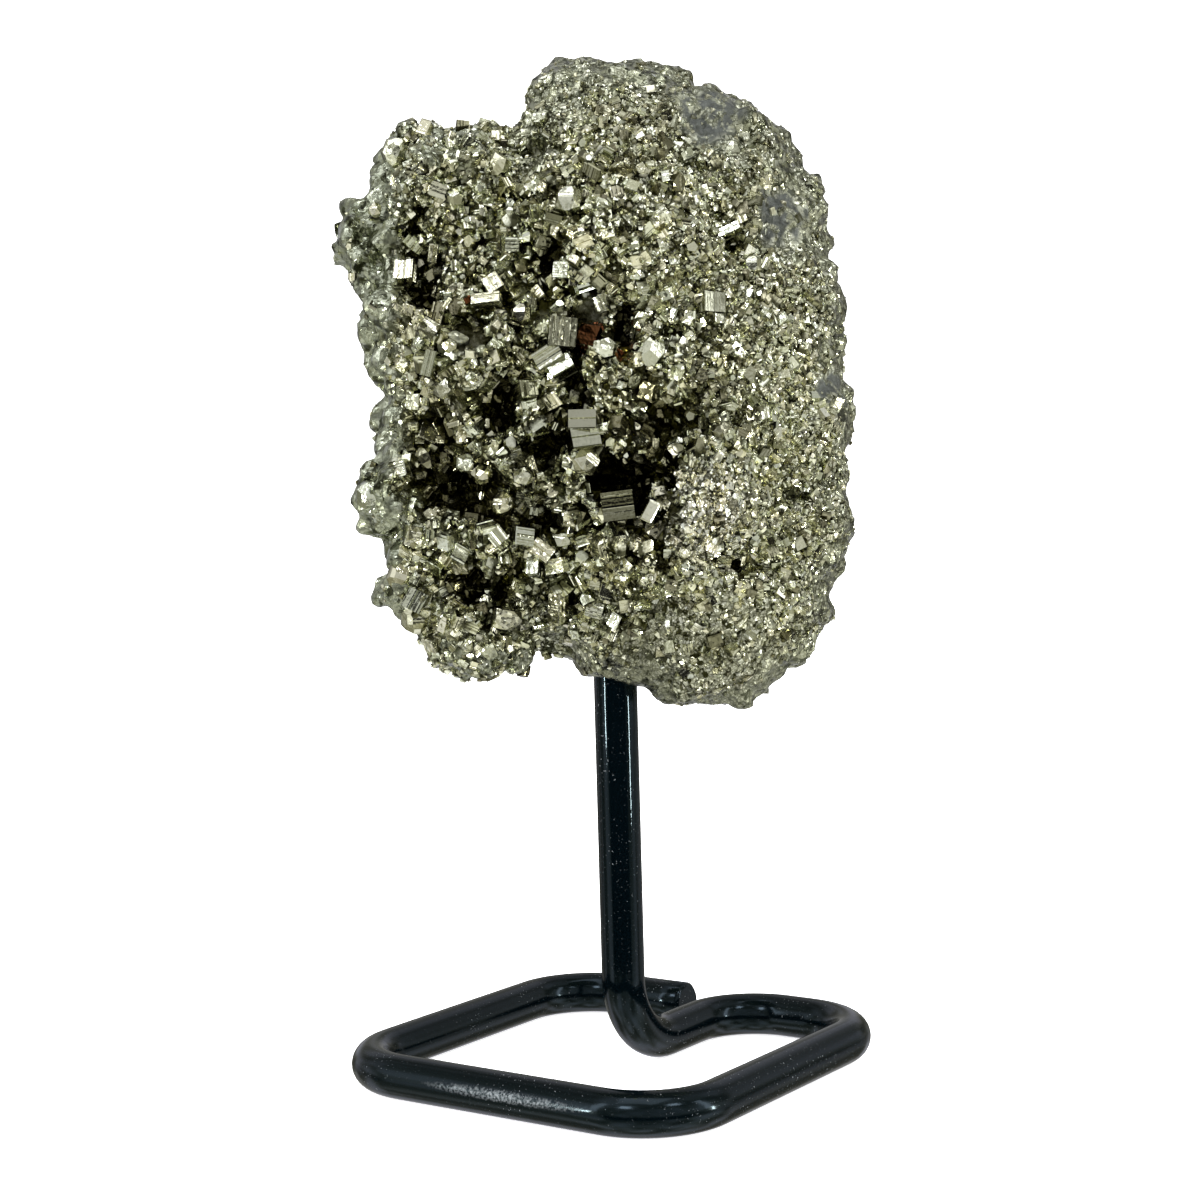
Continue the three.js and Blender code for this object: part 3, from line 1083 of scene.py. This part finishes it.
def traits_at(random, points, depths):
    """Tone, stain with painted shade, and dullness, below zero in the glittering stretch. Crystals deep in
    the pockets get painted shade, darker than those at the surface, and more of them are stained on the right
    shoulder than elsewhere."""
    tone = random.random(len(points))
    stain_and_shade = smoothstep(0.45, 1.0, noise(points, 5.0, Channel.STAIN) + random.normal(0, 0.25, len(points)))
    # painted shade: crystals deep under the imported skin are darkened by their depth
    stain_and_shade = np.maximum(0.7 * stain_and_shade, smoothstep(2.9, 5.5, depths + random.normal(0, 0.6, len(points))))
    shoulder = smoothstep(-2.0, 6.0, points[:, 0]) * smoothstep(-4.0, 8.0, points[:, 2])
    stain_and_shade = np.maximum(stain_and_shade, np.where(random.random(len(points)) < 0.1 + 0.13 * shoulder, 0.85, 0.0))
    stain_and_shade = np.where(random.random(len(points)) < 0.7 * rusty(points), RUST_STAIN, stain_and_shade)
    dull = 0.6 * dullness(points) - glittering(points)
    return np.stack([tone, stain_and_shade, dull], axis=1)


def grown_turns(random, points, together):
    """Axes for crystals: those of one clump lie nearly alike in the given share of cases."""
    count = len(points)
    _, owner, _ = grains(points, 4.0, Channel.GROWN_TOGETHER)
    q = np.stack([hashed(owner, Channel.GROWN_TURN + k) - 0.5 for k in range(4)], axis=1)
    alike = small_turns(random, count, 0.25) @ turns(unit(q))
    loose = random_turns(random, count)
    pick = random.random(count) < together
    return np.where(pick[:, None, None], alike, loose)


class Layer(NamedTuple):
    """One scattering of crystals over the skin. Lengths are millimetres."""

    odds: dict  # of each kind
    count: int  # of places tried, before the crowded ones are dropped
    half: tuple  # the smallest and largest half-size
    weights: np.ndarray  # how thick they grow on each of the skin's triangles
    room: float  # the share of two half-sizes that two crystals keep between them
    lift: tuple  # the lowest and highest middle above the skin, in half-sizes
    together: float  # the share that lies like the rest of its clump
    stretch: float = 0.2  # how much the three half-sizes differ
    steps: int = 0  # rounds of smaller crystals beside them that lie the same way


NEIGHBOUR_SHARE = 0.6  # of the crystals that get a smaller one beside them in each round


def grow_layer(growth, random, skin, table, layer):
    """Scatters one layer of crystals, smaller and lower where the crust is packed close."""
    points, normals, depths = skin.scatter(random, layer.count, layer.weights)
    close = around(points)
    smallest, largest = layer.half
    radii = smallest * (largest / smallest) ** (random.random(layer.count) ** 1.4) * (1 - 0.35 * close)
    order = np.argsort(-radii)
    order = order[spaced(points[order], radii[order], layer.room)]
    points, normals, depths = points[order], normals[order], depths[order]
    radii, close = radii[order], close[order]
    count = len(points)

    odds = np.array(list(layer.odds.values()))
    picked = random.choice(len(odds), count, p=odds / odds.sum())
    forms = np.zeros(count, int)
    for number, kind in enumerate(layer.odds):
        mine = np.flatnonzero(picked == number)
        forms[mine] = random.choice(table[kind], len(mine))
    sizes = radii[:, None] * (1 + layer.stretch * random.uniform(-1, 1, (count, 3)))
    rise = (random.uniform(*layer.lift, count) - 0.3 * close) * radii
    middles = points + normals * rise[:, None]
    axes = grown_turns(random, points, layer.together)
    traits = traits_at(random, points, depths)
    growth.add(forms, middles, axes, sizes, traits, points, normals)

    for _ in range(layer.steps):
        mine = np.flatnonzero(random.random(count) < NEIGHBOUR_SHARE)
        shift = np.eye(3)[random.integers(0, 3, len(mine))] * random.choice([-1.0, 1.0], (len(mine), 1))
        shift = shift + random.uniform(-0.45, 0.45, (len(mine), 3))
        shift = np.einsum("mk,mjk->mj", shift * sizes[mine] * 0.55, axes[mine])
        shrunk = sizes[mine] * random.uniform(0.45, 0.8, (len(mine), 3))
        growth.add(
            forms[mine], middles[mine] + shift, axes[mine], shrunk, traits[mine], points[mine], normals[mine]
        )


BRIGHT = (-14, -21, 0)  # the turn in which a crystal's front face mirrors a lamp

# Crystals that stand out on the front: kind, middle x and z in the cluster's axes, half-sizes, how far
# they are turned about z, x and y in degrees, how far their middles lie under the skin, and stain.
SHOWN = [
    ("rounded", -2.1, -9.6, (1.8, 1.6, 1.9), (36, -6, 38), 1.2, 0.2),
    ("striated", -2.5, -7.0, (1.4, 1.7, 1.9), (14, -16, 84), 1.4, 0.5),
    ("striated", -2.4, -4.6, (1.3, 1.8, 1.8), (-6, -12, 90), 1.9, 0.55),
    ("rounded", -3.5, 24.0, (1.8, 1.6, 1.8), BRIGHT, 0.8, 0.0),
    ("striated", -25.5, 16.0, (1.3, 1.2, 1.3), BRIGHT, 0.2, 0.0),
    ("striated", -22.0, 18.5, (0.5, 0.7, 1.2), (20, 5, 8), 0.8, 0.0),
    ("bevelled", -11.5, 19.0, (1.2, 1.2, 1.1), (25, 10, 0), 0.8, 0.0),
    ("bevelled", -4.5, 15.0, (1.3, 1.3, 1.2), (-26, -6, 5), 1.1, 0.0),
    ("striated", -14.5, 11.5, (0.7, 0.9, 1.9), (-14, -21, 86), 0.4, 0.0),
    ("rounded", -10.0, 9.5, (1.3, 1.3, 1.3), BRIGHT, 0.9, 0.0),
    ("striated", -13.5, 13.5, (1.1, 1.1, 1.2), (-14, -21, -35), 0.8, 0.0),
    ("striated", -5.0, 7.0, (1.8, 1.5, 1.9), (10, -8, 8), 0.8, 0.8),
    ("cut cube", -1.3, 6.9, (1.5, 1.2, 1.5), (-24, 8, 15), 1.0, 1.9),
    ("striated", -6.5, 4.0, (1.2, 1.3, 1.9), (-20, -10, 60), 0.8, 0.1),
    ("striated", -5.0, 2.5, (1.1, 1.2, 1.6), (-14, -21, 60), 0.8, 0.0),
    ("bevelled", -21.0, 26.5, (1.4, 1.3, 1.1), (15, 12, 20), 1.0, 0.1),
    ("striated", -22.0, 3.5, (0.8, 0.9, 1.7), (-22, -5, 15), 0.4, 0.0),
    ("rounded", -10.5, -11.5, (1.3, 1.3, 1.2), (10, -8, 0), 0.9, 0.2),
    ("lump", -13.5, -15.0, (1.5, 1.5, 1.6), (-20, -15, 0), 1.2, 0.1),
    ("lump", -16.0, -11.0, (1.4, 1.3, 1.4), (0, -40, 30), 0.8, 0.1),
    ("rounded", -18.0, -9.5, (1.2, 1.1, 1.2), (30, -10, 10), 0.8, 0.2),
    ("striated", -14.0, -19.5, (1.1, 1.1, 1.3), (-14, -21, -40), 0.8, 0.0),
    ("bevelled", -11.0, -19.5, (1.6, 1.5, 1.5), (24, -8, 10), 1.1, 0.25),
    ("striated", -8.5, -21.5, (1.0, 1.0, 1.5), (10, -20, -50), 0.8, 0.0),
    ("striated", -9.5, -23.5, (0.8, 0.9, 1.2), BRIGHT, 0.8, 0.0),
    ("striated", -6.5, -23.5, (1.0, 0.9, 1.4), (-30, 0, 80), 0.8, 0.0),
    ("bevelled", -25.5, -19.5, (1.5, 0.9, 1.2), (12, 6, 15), 0.9, 0.1),
    ("striated", 2.0, -15.5, (1.9, 1.6, 2.1), (-8, 4, 84), 1.5, 0.8),
    ("cut cube", -13.5, -30.5, (2.1, 1.2, 1.5), (18, 4, 12), 1.2, 0.1),
    ("bevelled", -6.5, -29.0, (1.2, 1.2, 2.9), (-42, 4, 8), 1.0, 0.1),
    ("striated", -26.0, -27.5, (1.4, 1.3, 1.4), (15, 5, 30), 1.1, 0.15),
    ("lump", -27.5, -24.5, (1.9, 1.7, 2.1), (5, -8, 20), 1.5, 0.15),
    ("lump", -26.0, -30.5, (2.0, 1.8, 2.1), (18, 2, 0), 1.6, 0.2),
    ("striated", 14.5, 10.5, (1.6, 1.3, 1.3), (30, -5, 4), 1.1, 0.75),
    ("bevelled", 9.2, 26.8, (0.6, 0.6, 0.9), (-14, -21, -10), 0.5, 0.0),
    ("lump", -31.5, -13.5, (1.9, 1.7, 2.0), (20, 10, 0), 1.0, 0.1),
    ("lump", -26.3, 32.3, (2.3, 2.1, 2.2), (30, 15, 20), 2.1, 0.1),
    ("bevelled", -22.5, 35.0, (0.9, 0.8, 1.4), (-14, -21, 20), 0.3, 0.0),
    ("rounded", -29.5, 24.5, (0.9, 0.8, 1.0), BRIGHT, 0.6, 0.0),
    ("bevelled", 6.0, -16.5, (0.9, 0.9, 1.7), (-6, -12, 28), 1.0, 0.0),
    ("lump", 18.2, -19.6, (1.0, 0.8, 0.9), BRIGHT, 0.6, 0.0),
    ("rounded", 19.7, -20.8, (0.7, 0.7, 0.8), (-10, -24, 30), 0.4, 0.0),
    ("bevelled", 17.0, -21.2, (0.6, 0.6, 0.7), (-18, -18, -20), 0.4, 0.0),
    ("rounded", 20.5, 15.5, (1.3, 1.1, 1.2), BRIGHT, 0.6, 0.0),
    ("striated", 17.5, 20.0, (0.6, 0.8, 1.5), (-14, -21, 65), 0.4, 0.0),
    ("cube", -19.5, -21.5, (1.4, 1.3, 1.2), (28, 6, 30), 1.1, 0.2),
    ("pyritohedron", 0.5, 5.0, (1.7, 1.5, 1.5), (20, 6, 10), 1.2, 0.3),
    ("pyritohedron", 6.5, 4.0, (1.7, 1.5, 2.0), (22, 6, 40), 1.2, 0.2),
]


SHOWN_LOWER = 0.45  # how much deeper they all stand than their rows say


def turned(angles):
    """Axes of a crystal turned about y, then x, then z, by degrees given as z, x, y."""
    z, x, y = (math.radians(angle) for angle in angles)
    return np.array(Matrix.Rotation(z, 3, "Z") @ Matrix.Rotation(x, 3, "X") @ Matrix.Rotation(y, 3, "Y"))


def show_crystals(growth, random, table):
    """Adds the crystals that stand out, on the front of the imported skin."""
    skin = packed_tree(to_cluster(corners_of(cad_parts["pyrite_cluster"].data)))
    outward = np.array([[0, -1.0, 0]])
    for kind, x, z, sizes, angles, sunk, stain_and_shade in SHOWN:
        hit = skin.ray_cast(Vector((x, -60, z)), Vector((0, 1, 0)))[0]
        if hit is None:
            raise ValueError(f"no skin at {x}, {z}")
        form = np.array([random.choice(table[kind])])
        traits = np.array([[0.15 + 0.3 * random.random(), stain_and_shade, 0.0]])
        middle = np.array([[x, hit.y + sunk + SHOWN_LOWER, z]])
        foot = np.array([[x, hit.y + 0.8 + 0.6 * sunk, z]])
        growth.add(form, middle, turned(angles)[None], np.array([sizes]), traits, foot, outward)


STRIPE_SHIFT = 61  # so that no two crystals have the same striations


def crystal_mesh(name, library, rows):
    """One mesh of many crystals, with what their finish reads: the place along their striations, how
    high each corner stands over the skin in half-sizes, and their traits."""
    forms, middles, axes, sizes, traits, feet, outward = rows
    corners, loops, face_sizes, stripes, marks, lifts = [], [], [], [], [], []
    start = 0
    for number, form in enumerate(library):
        mine = np.flatnonzero(forms == number)
        if not len(mine):
            continue
        local = form.corners[None] * sizes[mine, None]
        placed = np.einsum("mvk,mjk->mvj", local, axes[mine]) + middles[mine, None]
        corners.append(placed.reshape(-1, 3))
        rise = np.einsum("mvk,mk->mv", placed - feet[mine, None], outward[mine])
        lifts.append((rise / sizes[mine].mean(axis=1)[:, None]).ravel())
        offsets = start + np.arange(len(mine))[:, None] * len(form.corners)
        loops.append((form.loops[None] + offsets).ravel())
        face_sizes.append(np.tile(form.sizes, len(mine)))
        shift = traits[mine, 0:1] * STRIPE_SHIFT
        stripes.append((local[:, form.loops, form.stripe_axes] * form.striped + shift).ravel())
        marks.append(np.repeat(traits[mine], len(form.corners), axis=0))
        start += placed.shape[0] * placed.shape[1]
    corners, loops, face_sizes = (np.concatenate(parts) for parts in (corners, loops, face_sizes))
    mesh = mesh_from(name, to_row(corners), loops, face_sizes)
    note(mesh, "stripe", np.concatenate(stripes), "CORNER")
    note(mesh, "lift", np.concatenate(lifts))
    note(mesh, "traits", np.concatenate(marks))
    return mesh


CRYSTAL_GLITTER = (0.92, 0.9, 0.72)
CRYSTAL_HUES = ((0.95, 0.99, 1.04), (1.04, 1.0, 0.96))
# dark tarnish, also the colour of the painted shade deep in pockets, and rust
STAIN_AND_SHADE_COLOURS = ((0.07, 0.06, 0.014), (0.11, 0.03, 0.006))
CRYSTAL_MATRIX = ((0.01, 0.011, 0.009), (0.08, 0.086, 0.072))
# painted contact shadow at each crystal's foot
CONTACT_SHADE = (0.03, 0.03, 0.005)


def crystal_finish(settings):
    """Pale brass crystal faces, striated, a little tarnished and stained, dull grey in the matrix, with
    painted shade on crystals deep in the pockets and at every crystal's foot.
    """
    s = Finish("pyrite crystal")
    tone, stain_and_shade, dull = s.parts(s.attribute("traits")["Vector"])
    glitter = s.ramp(dull, -1.0, 0.0, 1.0, 0.0)
    dull = s.larger(dull, 0.0)

    shade = s.math("MULTIPLY_ADD", tone, 0.7, s.times(s.noise(3.0 * MM, 3.0), 0.4))
    colour = s.mix(shade, tuple(settings.brass), tuple(settings.tarnish))
    colour = s.mix(s.times(glitter, 0.6), colour, CRYSTAL_GLITTER)
    hue = s.mix(s.scrambled(tone, 31.7), *CRYSTAL_HUES)
    tinted = {"Factor": 1.0, 6: colour, 7: hue}
    colour = s.add("Mix", tinted, data_type="RGBA", blend_type="MULTIPLY").outputs[2]
    # stain darkens towards these colours; where it comes from depth it is painted shade
    cover = s.math("ADD", s.ramp(stain_and_shade, 0.0, 1.0, 0.0, 0.85), s.ramp(stain_and_shade, 1.0, RUST_STAIN, 0.0, 0.13))
    colour = s.mix(cover, colour, s.mix(s.ramp(stain_and_shade, 1.0, RUST_STAIN), *STAIN_AND_SHADE_COLOURS))
    colour = s.mix(dull, colour, s.mix(tone, *CRYSTAL_MATRIX))
    # painted shade: corners low on a crystal, near the skin it stands on, darken towards this contact shadow
    # colour
    level = s.math("ADD", s.attribute("lift")["Fac"], s.ramp(s.noise(0.8 * MM), 0.3, 0.7, -0.15, 0.15))
    colour = s.mix(s.ramp(level, -0.1, 0.35, 0.9, 0.0), colour, CONTACT_SHADE)

    sort = s.scrambled(tone, 7.3)
    coarse_skin = s.math("MULTIPLY_ADD", dull, 0.25, s.times(glitter, 0.02))
    rough = s.math("ADD", s.ramp(sort, 0.0, 1.0, 0.07, 0.26), coarse_skin)
    s.set(Base_Color=colour, Roughness=rough, Metallic=s.ramp(dull, 0.0, 1.0, 1.0, 0.4))

    ridged = s.ramp(s.scrambled(tone, 17.9), 0.35, 0.8, 0.04, 0.42)
    lined = banded(s, s.add("NewGeometry").outputs["Normal"], s.attribute("stripe")["Fac"], 0.17, ridged)
    lean = s.math("MULTIPLY_ADD", glitter, 0.45, s.ramp(sort, 0.4, 0.9, 0.04, 0.5))
    facets = tilted(s, lined, 0.45 * MM, lean)
    s.set(Normal=s.bump(0.3, 0.06 * MM, s.noise(0.4 * MM), Normal=facets))
    return s.material


# The odds of each kind in a layer of crystals
LARGE = {"bevelled": 5, "cut cube": 2, "pyritohedron": 2, "rounded": 2, "striated": 3}
MIXED = {"cube": 4, "bevelled": 1, "pyritohedron": 1.5, "octahedron": 1, "grain": 2, "striated": 0.7}
CHIPS = {"cube": 2, "bevelled": 1, "pyritohedron": 1.5, "octahedron": 1, "grain": 4}
SMALL = {"cube": 3, "octahedron": 3, "grain": 3}
POST_CLEARANCE = 5.2  # no crystal grows nearer than this to the post's middle line


def crystal_layers(skin):
    """Every layer, the large ones first. Open ground carries large crystals and the crust small ones."""
    places = skin.middles
    coarse = coarseness(places)
    fine = 1 - coarse
    front = smoothstep(6, -4, places[:, 1])
    shallow = 1 - smoothstep(2.0, 3.0, skin.depths)
    crust = fine * (0.4 + 0.6 * front)
    open_ground = coarse * (1 - 0.9 * glittering(places))
    return [
        Layer(LARGE, 800, (0.85, 1.4), open_ground, 0.68, (-0.55, -0.05), 0.2, 0.25, 2),
        Layer(LARGE, 3000, (0.5, 0.9), open_ground + 0.02 * front, 0.58, (-0.6, -0.05), 0.3, 0.25, 1),
        Layer(MIXED, 6000, (0.3, 0.55), (coarse * 0.5 + 0.1) * shallow, 0.5, (-0.5, 0.1), 0.4),
        Layer(CHIPS, 9500, (0.36, 0.9), crust, 0.48, (-0.8, -0.35), 0.5),
        Layer(SMALL, 6500, (0.24, 0.42), (0.05 + 0.95 * fine) * shallow, 0.5, (-0.6, 0.0), 0.5, 0.3),
        Layer(SMALL, 3000, (0.18, 0.3), fine * (0.1 + 0.9 * front) * shallow, 0.5, (-0.5, 0.2), 0.5, 0.3),
    ]


class GrowCrystals(bpy.types.Operator):
    """Grow every crystal on the rock"""

    bl_idname = "pyrite.grow_crystals"
    bl_label = "Crystals"

    def execute(self, context):
        settings = context.scene.pyrite_crystals
        random = np.random.default_rng(settings.seed)
        library, table = [], {}
        for kind, forms in crystal_forms(random).items():
            table[kind] = np.arange(len(forms)) + len(library)
            library += forms
        growth = Growth()
        show_crystals(growth, random, table)

        skin = Skin(bpy.data.objects["pyrite_rock"])
        bare = (1 - 0.985 * sleekness(skin.middles)) * (1 - 0.8 * matte(skin.middles))
        bare = bare * (1 - 0.9 * dullness(skin.middles)) * (1 - 0.75 * around(skin.middles))
        clear = (from_post(skin.middles) > POST_CLEARANCE) * bare
        for layer in crystal_layers(skin):
            count = int(layer.count * settings.density)
            layer = layer._replace(count=count, weights=layer.weights * clear)
            grow_layer(growth, random, skin, table, layer)

        # Eight pieces, parted where each gets a fair share of the crystals
        rows = growth.gathered()
        material = crystal_finish(settings)
        x, y, z = rows[1].T
        side = np.where(y < 0, "front", "back")
        half = np.where(x < 2, "left", "right")
        level = np.where(z > 0, "upper", "lower")
        for sector in itertools.product(("front", "back"), ("left", "right"), ("upper", "lower")):
            mine = (side == sector[0]) & (half == sector[1]) & (level == sector[2])
            name = "crystals_" + "_".join(sector)
            mesh = crystal_mesh(name, library, [column[mine] for column in rows])
            piece = new_object(name, mesh, material)
            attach(piece, "root")
        return {"FINISHED"}


# ---- The stage ----
TARGET = Vector((FOOT_CENTRE.x, FOOT_CENTRE.y - 0.6 * MM, 66.0 * MM))
CAMERA_TURN = math.radians(34.8)
CAMERA_RISE = math.radians(3.66)
CAMERA_ROLL = math.radians(-1.55)
CAMERA_DISTANCE = 319.5 * MM


def direction(turn, rise):
    """The way to a place turned that far from the front and that far above the horizon."""
    return Vector((math.sin(turn) * math.cos(rise), -math.cos(turn) * math.cos(rise), math.sin(rise)))


def aim(thing, place, target, roll=0.0):
    """Puts a lamp or camera at a place, looking at the target."""
    back = (place - target).normalized()
    right = Vector((0, 0, 1)).cross(back).normalized()
    up = back.cross(right)
    rolled = right * math.cos(roll) + up * math.sin(roll)
    raised = up * math.cos(roll) - right * math.sin(roll)
    thing.matrix_world = Matrix.LocRotScale(
        place, Matrix((rolled, raised, back)).transposed().to_quaternion(), None
    )


LIT_HEIGHT = 90 * MM  # what the lamps are aimed at
STRIP_TINT = (1.0, 1.0, 1.03)
ROOM_TINT = (0.97, 0.99, 1.2)

# Lamps: name, degrees from the camera's side and above the horizon, distance, width, height, radiance
# and tint. The strips draw the highlights along the rod.
LAMPS = [
    ("left strip", -60, -13.6, 0.25, 0.01, 0.032, 130.0, STRIP_TINT),
    ("right strip", 68, -15.6, 0.25, 0.011, 0.046, 100.0, STRIP_TINT),
    ("left panel", -62, 25, 0.7, 0.1, 0.5, 4.0, ROOM_TINT),
    ("right panel", 68, 22, 0.7, 0.1, 0.5, 4.0, ROOM_TINT),
    ("upper left lamp", -30, 38, 0.7, 0.14, 0.14, 10.3, ROOM_TINT),
    ("upper right lamp", 36, 46, 0.7, 0.14, 0.14, 9.3, ROOM_TINT),
    ("overhead", -20, 78, 0.8, 0.5, 0.5, 1.6, ROOM_TINT),
]


def softbox(name, turn, rise, distance, width, height, radiance, tint):
    """A rectangular lamp at an angle from the camera's side of the object."""
    data = bpy.data.lights.new(name, "AREA")
    data.shape = "RECTANGLE"
    data.size, data.size_y = width, height
    data.energy = radiance * math.pi * width * height
    data.color = tint
    lamp = bpy.data.objects.new(name, data)
    bpy.context.scene.collection.objects.link(lamp)
    middle = Vector((TARGET.x, TARGET.y, LIT_HEIGHT))
    aim(lamp, middle + direction(CAMERA_TURN + math.radians(turn), math.radians(rise)) * distance, middle)
    lamp.visible_camera = False


WARM_ROOM = (1.0, 0.985, 0.78)
COOL_ROOM = (0.99, 1.0, 1.12)
WHITE = (1.0, 1.0, 1.0)


def studio_air():
    """Plain white for the eye and the floor. Mirror-like faces see a mottled room instead: brighter from
    below than from above, dimmer towards the camera and behind the object, with a darker band just under
    the horizon that is almost black on the camera's side."""
    world = bpy.data.worlds.new("studio")
    bpy.context.scene.world = world
    world.use_nodes = True
    world.node_tree.nodes.clear()
    s = Nodes(world.node_tree)

    way = s.add("TexCoord").outputs["Generated"]
    towards_camera = tuple(direction(CAMERA_TURN, 0))
    facing = s.add("VectorMath", {0: way, 1: towards_camera}, operation="DOT_PRODUCT").outputs["Value"]
    height = s.parts(way)[2]
    mottle = s.add("TexNoise", {"Vector": way, "Scale": 2.2, "Detail": 1.0}).outputs["Fac"]
    room = s.times(s.ramp(height, -0.6, 0.9, 1.5, 0.88), s.ramp(facing, 0.4, 0.9, 1.0, 0.55))
    room = s.times(room, s.ramp(facing, -0.5, 0.2, 0.45, 1.0))
    room = s.times(room, s.ramp(mottle, 0.36, 0.64, 0.3, 1.35))
    from_band = s.math("ABSOLUTE", s.math("ADD", height, 0.13))
    band = s.times(s.ramp(from_band, 0.11, 0.15, 1.0, 0.0), s.ramp(facing, 0.6, 0.7, 0.35, 1.0))
    room = s.times(room, s.ramp(band, 0.0, 1.0, 1.0, 0.02))
    hue = s.mix(s.ramp(mottle, 0.36, 0.6), WARM_ROOM, COOL_ROOM)
    mirrored = s.add("Background", {"Color": hue, "Strength": room})
    plain = s.add("Background", {"Color": WHITE, "Strength": 2.2})
    glossy = s.add("LightPath").outputs["Is Glossy Ray"]
    air = s.add("MixShader", {0: glossy, 1: plain.outputs[0], 2: mirrored.outputs[0]})
    s.add("OutputWorld", {"Surface": air.outputs[0]})


FLOOR_SIZE = 4.0  # from the middle to each side


class BuildStage(bpy.types.Operator):
    """Set the floor, the lights and the camera"""

    bl_idname = "pyrite.build_stage"
    bl_label = "Stage"

    def execute(self, context):
        settings = context.scene.pyrite_stage
        scene = context.scene
        near, far = -FLOOR_SIZE, FLOOR_SIZE
        mesh = bpy.data.meshes.new("floor")
        mesh.from_pydata([(near, near, 0), (far, near, 0), (far, far, 0), (near, far, 0)], [], [(0, 1, 2, 3)])
        s = Finish("pale floor")
        s.set(Base_Color=tuple(settings.floor_colour), Roughness=0.9, Specular_IOR_Level=0.0)
        s.set(Emission_Color=WHITE, Emission_Strength=0.8)
        floor = new_object("floor", mesh, s.material)
        floor.visible_glossy = False

        camera_data = bpy.data.cameras.new("camera")
        camera_data.lens = settings.lens
        camera_data.sensor_width = 36
        camera_data.clip_start, camera_data.clip_end = 0.01, 20
        camera = bpy.data.objects.new("camera", camera_data)
        scene.collection.objects.link(camera)
        place = TARGET + direction(CAMERA_TURN, CAMERA_RISE) * CAMERA_DISTANCE
        aim(camera, place, TARGET, CAMERA_ROLL)
        scene.camera = camera

        studio_air()
        for lamp in LAMPS:
            softbox(*lamp)
        scene.view_settings.view_transform = "Standard"
        return {"FINISHED"}


# ---- The panel ----
class PyritePanel(bpy.types.Panel):
    """Lists the steps that build the specimen"""

    bl_idname = "VIEW3D_PT_pyrite"
    bl_label = "Pyrite specimen"
    bl_space_type = "VIEW_3D"
    bl_region_type = "UI"
    bl_category = "Pyrite"

    def draw(self, context):
        for step in STEPS:
            self.layout.operator(step.bl_idname)
        for name in SETTINGS:
            box = self.layout.box()
            settings = getattr(context.scene, name)
            for key in settings.__annotations__:
                box.prop(settings, key)


STEPS = (BuildStand, BuildRock, GrowCrystals, BuildStage)
SETTINGS = {
    "pyrite_stand": StandSettings,
    "pyrite_rock": RockSettings,
    "pyrite_crystals": CrystalSettings,
    "pyrite_stage": StageSettings,
}


def register():
    for kind in (*SETTINGS.values(), *STEPS, PyritePanel):
        bpy.utils.register_class(kind)
    for name, kind in SETTINGS.items():
        setattr(bpy.types.Scene, name, bpy.props.PointerProperty(type=kind))


def unregister():
    for name in SETTINGS:
        delattr(bpy.types.Scene, name)
    for kind in reversed((*SETTINGS.values(), *STEPS, PyritePanel)):
        bpy.utils.unregister_class(kind)


def main():
    register()
    bpy.ops.pyrite.build_stand()
    bpy.ops.pyrite.build_rock()
    bpy.ops.pyrite.grow_crystals()
    bpy.ops.pyrite.build_stage()


if __name__ == "__main__":
    main()
